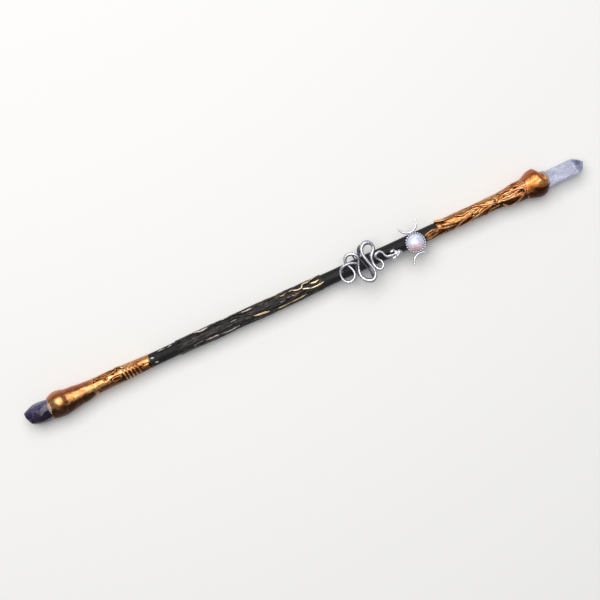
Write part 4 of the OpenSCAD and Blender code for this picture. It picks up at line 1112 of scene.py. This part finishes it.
def moon_setting():
    """A cup with a flared, scalloped rim that is pressed over the stone."""
    # Radius, height and share of the scallops, from the back of the cup over its rim to the inside
    profile = smooth_path([
        [5.2, 0.0, 0], [5.7, 0.15, 0], [5.75, 0.8, 0.2], [5.6, 1.4, 0.6], [5.85, 1.75, 1],
        [5.8, 2.15, 1], [5.6, 2.4, 0.9], [5.35, 2.4, 0.7], [5.2, 2.2, 0.3], [5.15, 1.8, 0], [5.1, 1.0, 0],
    ], 5)
    count = SCALLOPS * SCALLOP_POINTS
    turn = np.arange(count) * 2 * np.pi / count
    wave = np.abs(np.sin(SCALLOPS * turn / 2)) ** 0.6
    radius = profile[:, None, 0] + profile[:, None, 2] * (0.45 * wave - 0.15)
    height = profile[:, None, 1] + profile[:, None, 2] * 0.22 * wave
    turns = np.broadcast_to(turn, radius.shape)
    # Black between the scallops, and painted shade low on the cup
    recess_and_shade = np.clip(profile[:, None, 2] * (1 - wave) * 1.5 + ease(1.4, 0.5, height) * 0.8, 0, 1)
    skinned("moon_setting", around_moon(radius, turns, height), "antique_silver", {"recess_and_shade": recess_and_shade})


def moon_cabochon():
    """A round stone with a low faceted dome."""
    # Radius, height, number of corners, and turn as a share of one corner
    tiers = [(5.05, 1.0, 24, 0), (5.1, 2.1, 24, 0), (4.4, 2.95, 16, 0.5), (3.2, 3.6, 12, 0),
             (1.7, 3.98, 8, 0.5)]
    points = []
    for radius, height, count, shift in tiers:
        points += around_moon(radius, 2 * np.pi * (np.arange(count) + shift) / count, height).tolist()
    hull_piece("moon_cabochon", points, "cabochon", 0.06)


def crescent(name, middle, start, stop):
    """A thin curved bar with blunt round tips, thickest halfway, as cast."""
    t = np.linspace(0, 1, 90)
    a = np.radians(start + t * (stop - start))
    radius = 0.5 + 0.22 * np.sin(np.pi * t)
    radius *= np.sqrt(np.clip(1 - ((np.abs(2 * t - 1) - 0.975) / 0.025).clip(0, 1) ** 2, 0.03, 1))
    x, y = middle[0] + CRESCENT_R * np.cos(a), middle[1] + CRESCENT_R * np.sin(a)
    line = np.stack([x, y, np.full(a.shape, BRANCH_R + CRESCENT_UP)], -1)
    turn = (np.arange(CRESCENT_SIDES) + 0.5) * 2 * np.pi / CRESCENT_SIDES
    rings = bar_rings(line, radius[:, None], turn, np.where(np.sin(turn) < 0, 0.75, 1.0))
    rings += 0.03 * fbm(rings, 1.2, 2, 3)[..., None]
    # Painted shade on the underside of the bar
    recess_and_shade = np.broadcast_to(ease(0.35, -0.4, np.sin(turn)) * 0.85, rings.shape[:2])
    skinned(name, rings, "antique_silver", {"recess_and_shade": recess_and_shade})


moon_setting()
moon_cabochon()
crescent("crescent_upper", (71.9, 10.6), 184, 364)
crescent("crescent_lower", (71.9, -14.65), 176, 38)


# ---- Glue under the charms ----


def glue_blobs(name, spots, span_x, span_y):
    """Low blobs of glue on top of the branch, at spots of (x, y)."""
    blobs = [((x, y, BRANCH_R + 0.1), (span_x, span_y, 0.9)) for x, y in spots]
    points, faces = blobs_mesh(blobs, 0.2, 2)
    points[:, 2] += 0.12 * fbm(points, 1.2, 2, 3)
    piece(name, points, faces, "dark_glue")


glue_blobs("snake_glue_pads", [(25, 0), (35, 0), (44.5, 0), (58.5, -0.6)], 2, 1.6)
glue_blobs("moon_glue_pad", [(MOON[0], MOON[1])], 3.6, 2.6)


# ---- Studio ----

LAMP_AT = (-0.06, 0.50, 1.4)
# Width of the view in metres, at the wand
FIELD = 0.36
LENS, SENSOR = 85.0, 36.0
TURN = math.radians(24.7)
LOOK_AT = (np.array([-4.84, -4.39, 0]) + AXIS) * MM


def floor():
    """A plain pale floor, just under what the wand lies on."""
    bpy.ops.mesh.primitive_plane_add(size=6, location=(0, 0, -0.0001))
    plane = bpy.context.object
    plane.name = "studio_floor"
    p = Paint("studio_floor")
    p.set(Base_Color=(0.86, 0.86, 0.85, 1), Roughness=0.9, Specular_IOR_Level=0.2)
    plane.data.materials.append(p.material)


def studio():
    """The floor, one large soft lamp over the +Y side, and a weak pale sky."""
    floor()
    light = bpy.data.lights.new("key", "AREA")
    light.shape = "RECTANGLE"
    light.size, light.size_y = 1.5, 1.4
    light.energy = 25
    light.color = (1.0, 0.98, 0.95)
    lamp = bpy.data.objects.new("key", light)
    lamp.location = LAMP_AT
    lamp.rotation_euler = (-Vector(LAMP_AT)).to_track_quat("-Z", "Y").to_euler()
    bpy.context.scene.collection.objects.link(lamp)
    world = bpy.data.worlds.new("studio")
    world.use_nodes = True
    sky = world.node_tree.nodes["Background"].inputs
    sky["Color"].default_value = (0.9, 0.93, 1.0, 1)
    sky["Strength"].default_value = 0.28
    bpy.context.scene.world = world
    bpy.context.scene.view_settings.view_transform = "Standard"


def camera():
    """A camera straight above, turned so that the wand lies across the picture."""
    data = bpy.data.cameras.new("camera")
    data.lens, data.sensor_width = LENS, SENSOR
    made = bpy.data.objects.new("camera", data)
    made.location = (*LOOK_AT[:2], LOOK_AT[2] + FIELD * LENS / SENSOR)
    made.rotation_euler = (0, 0, -TURN)
    bpy.context.scene.collection.objects.link(made)
    bpy.context.scene.camera = made


studio()
camera()
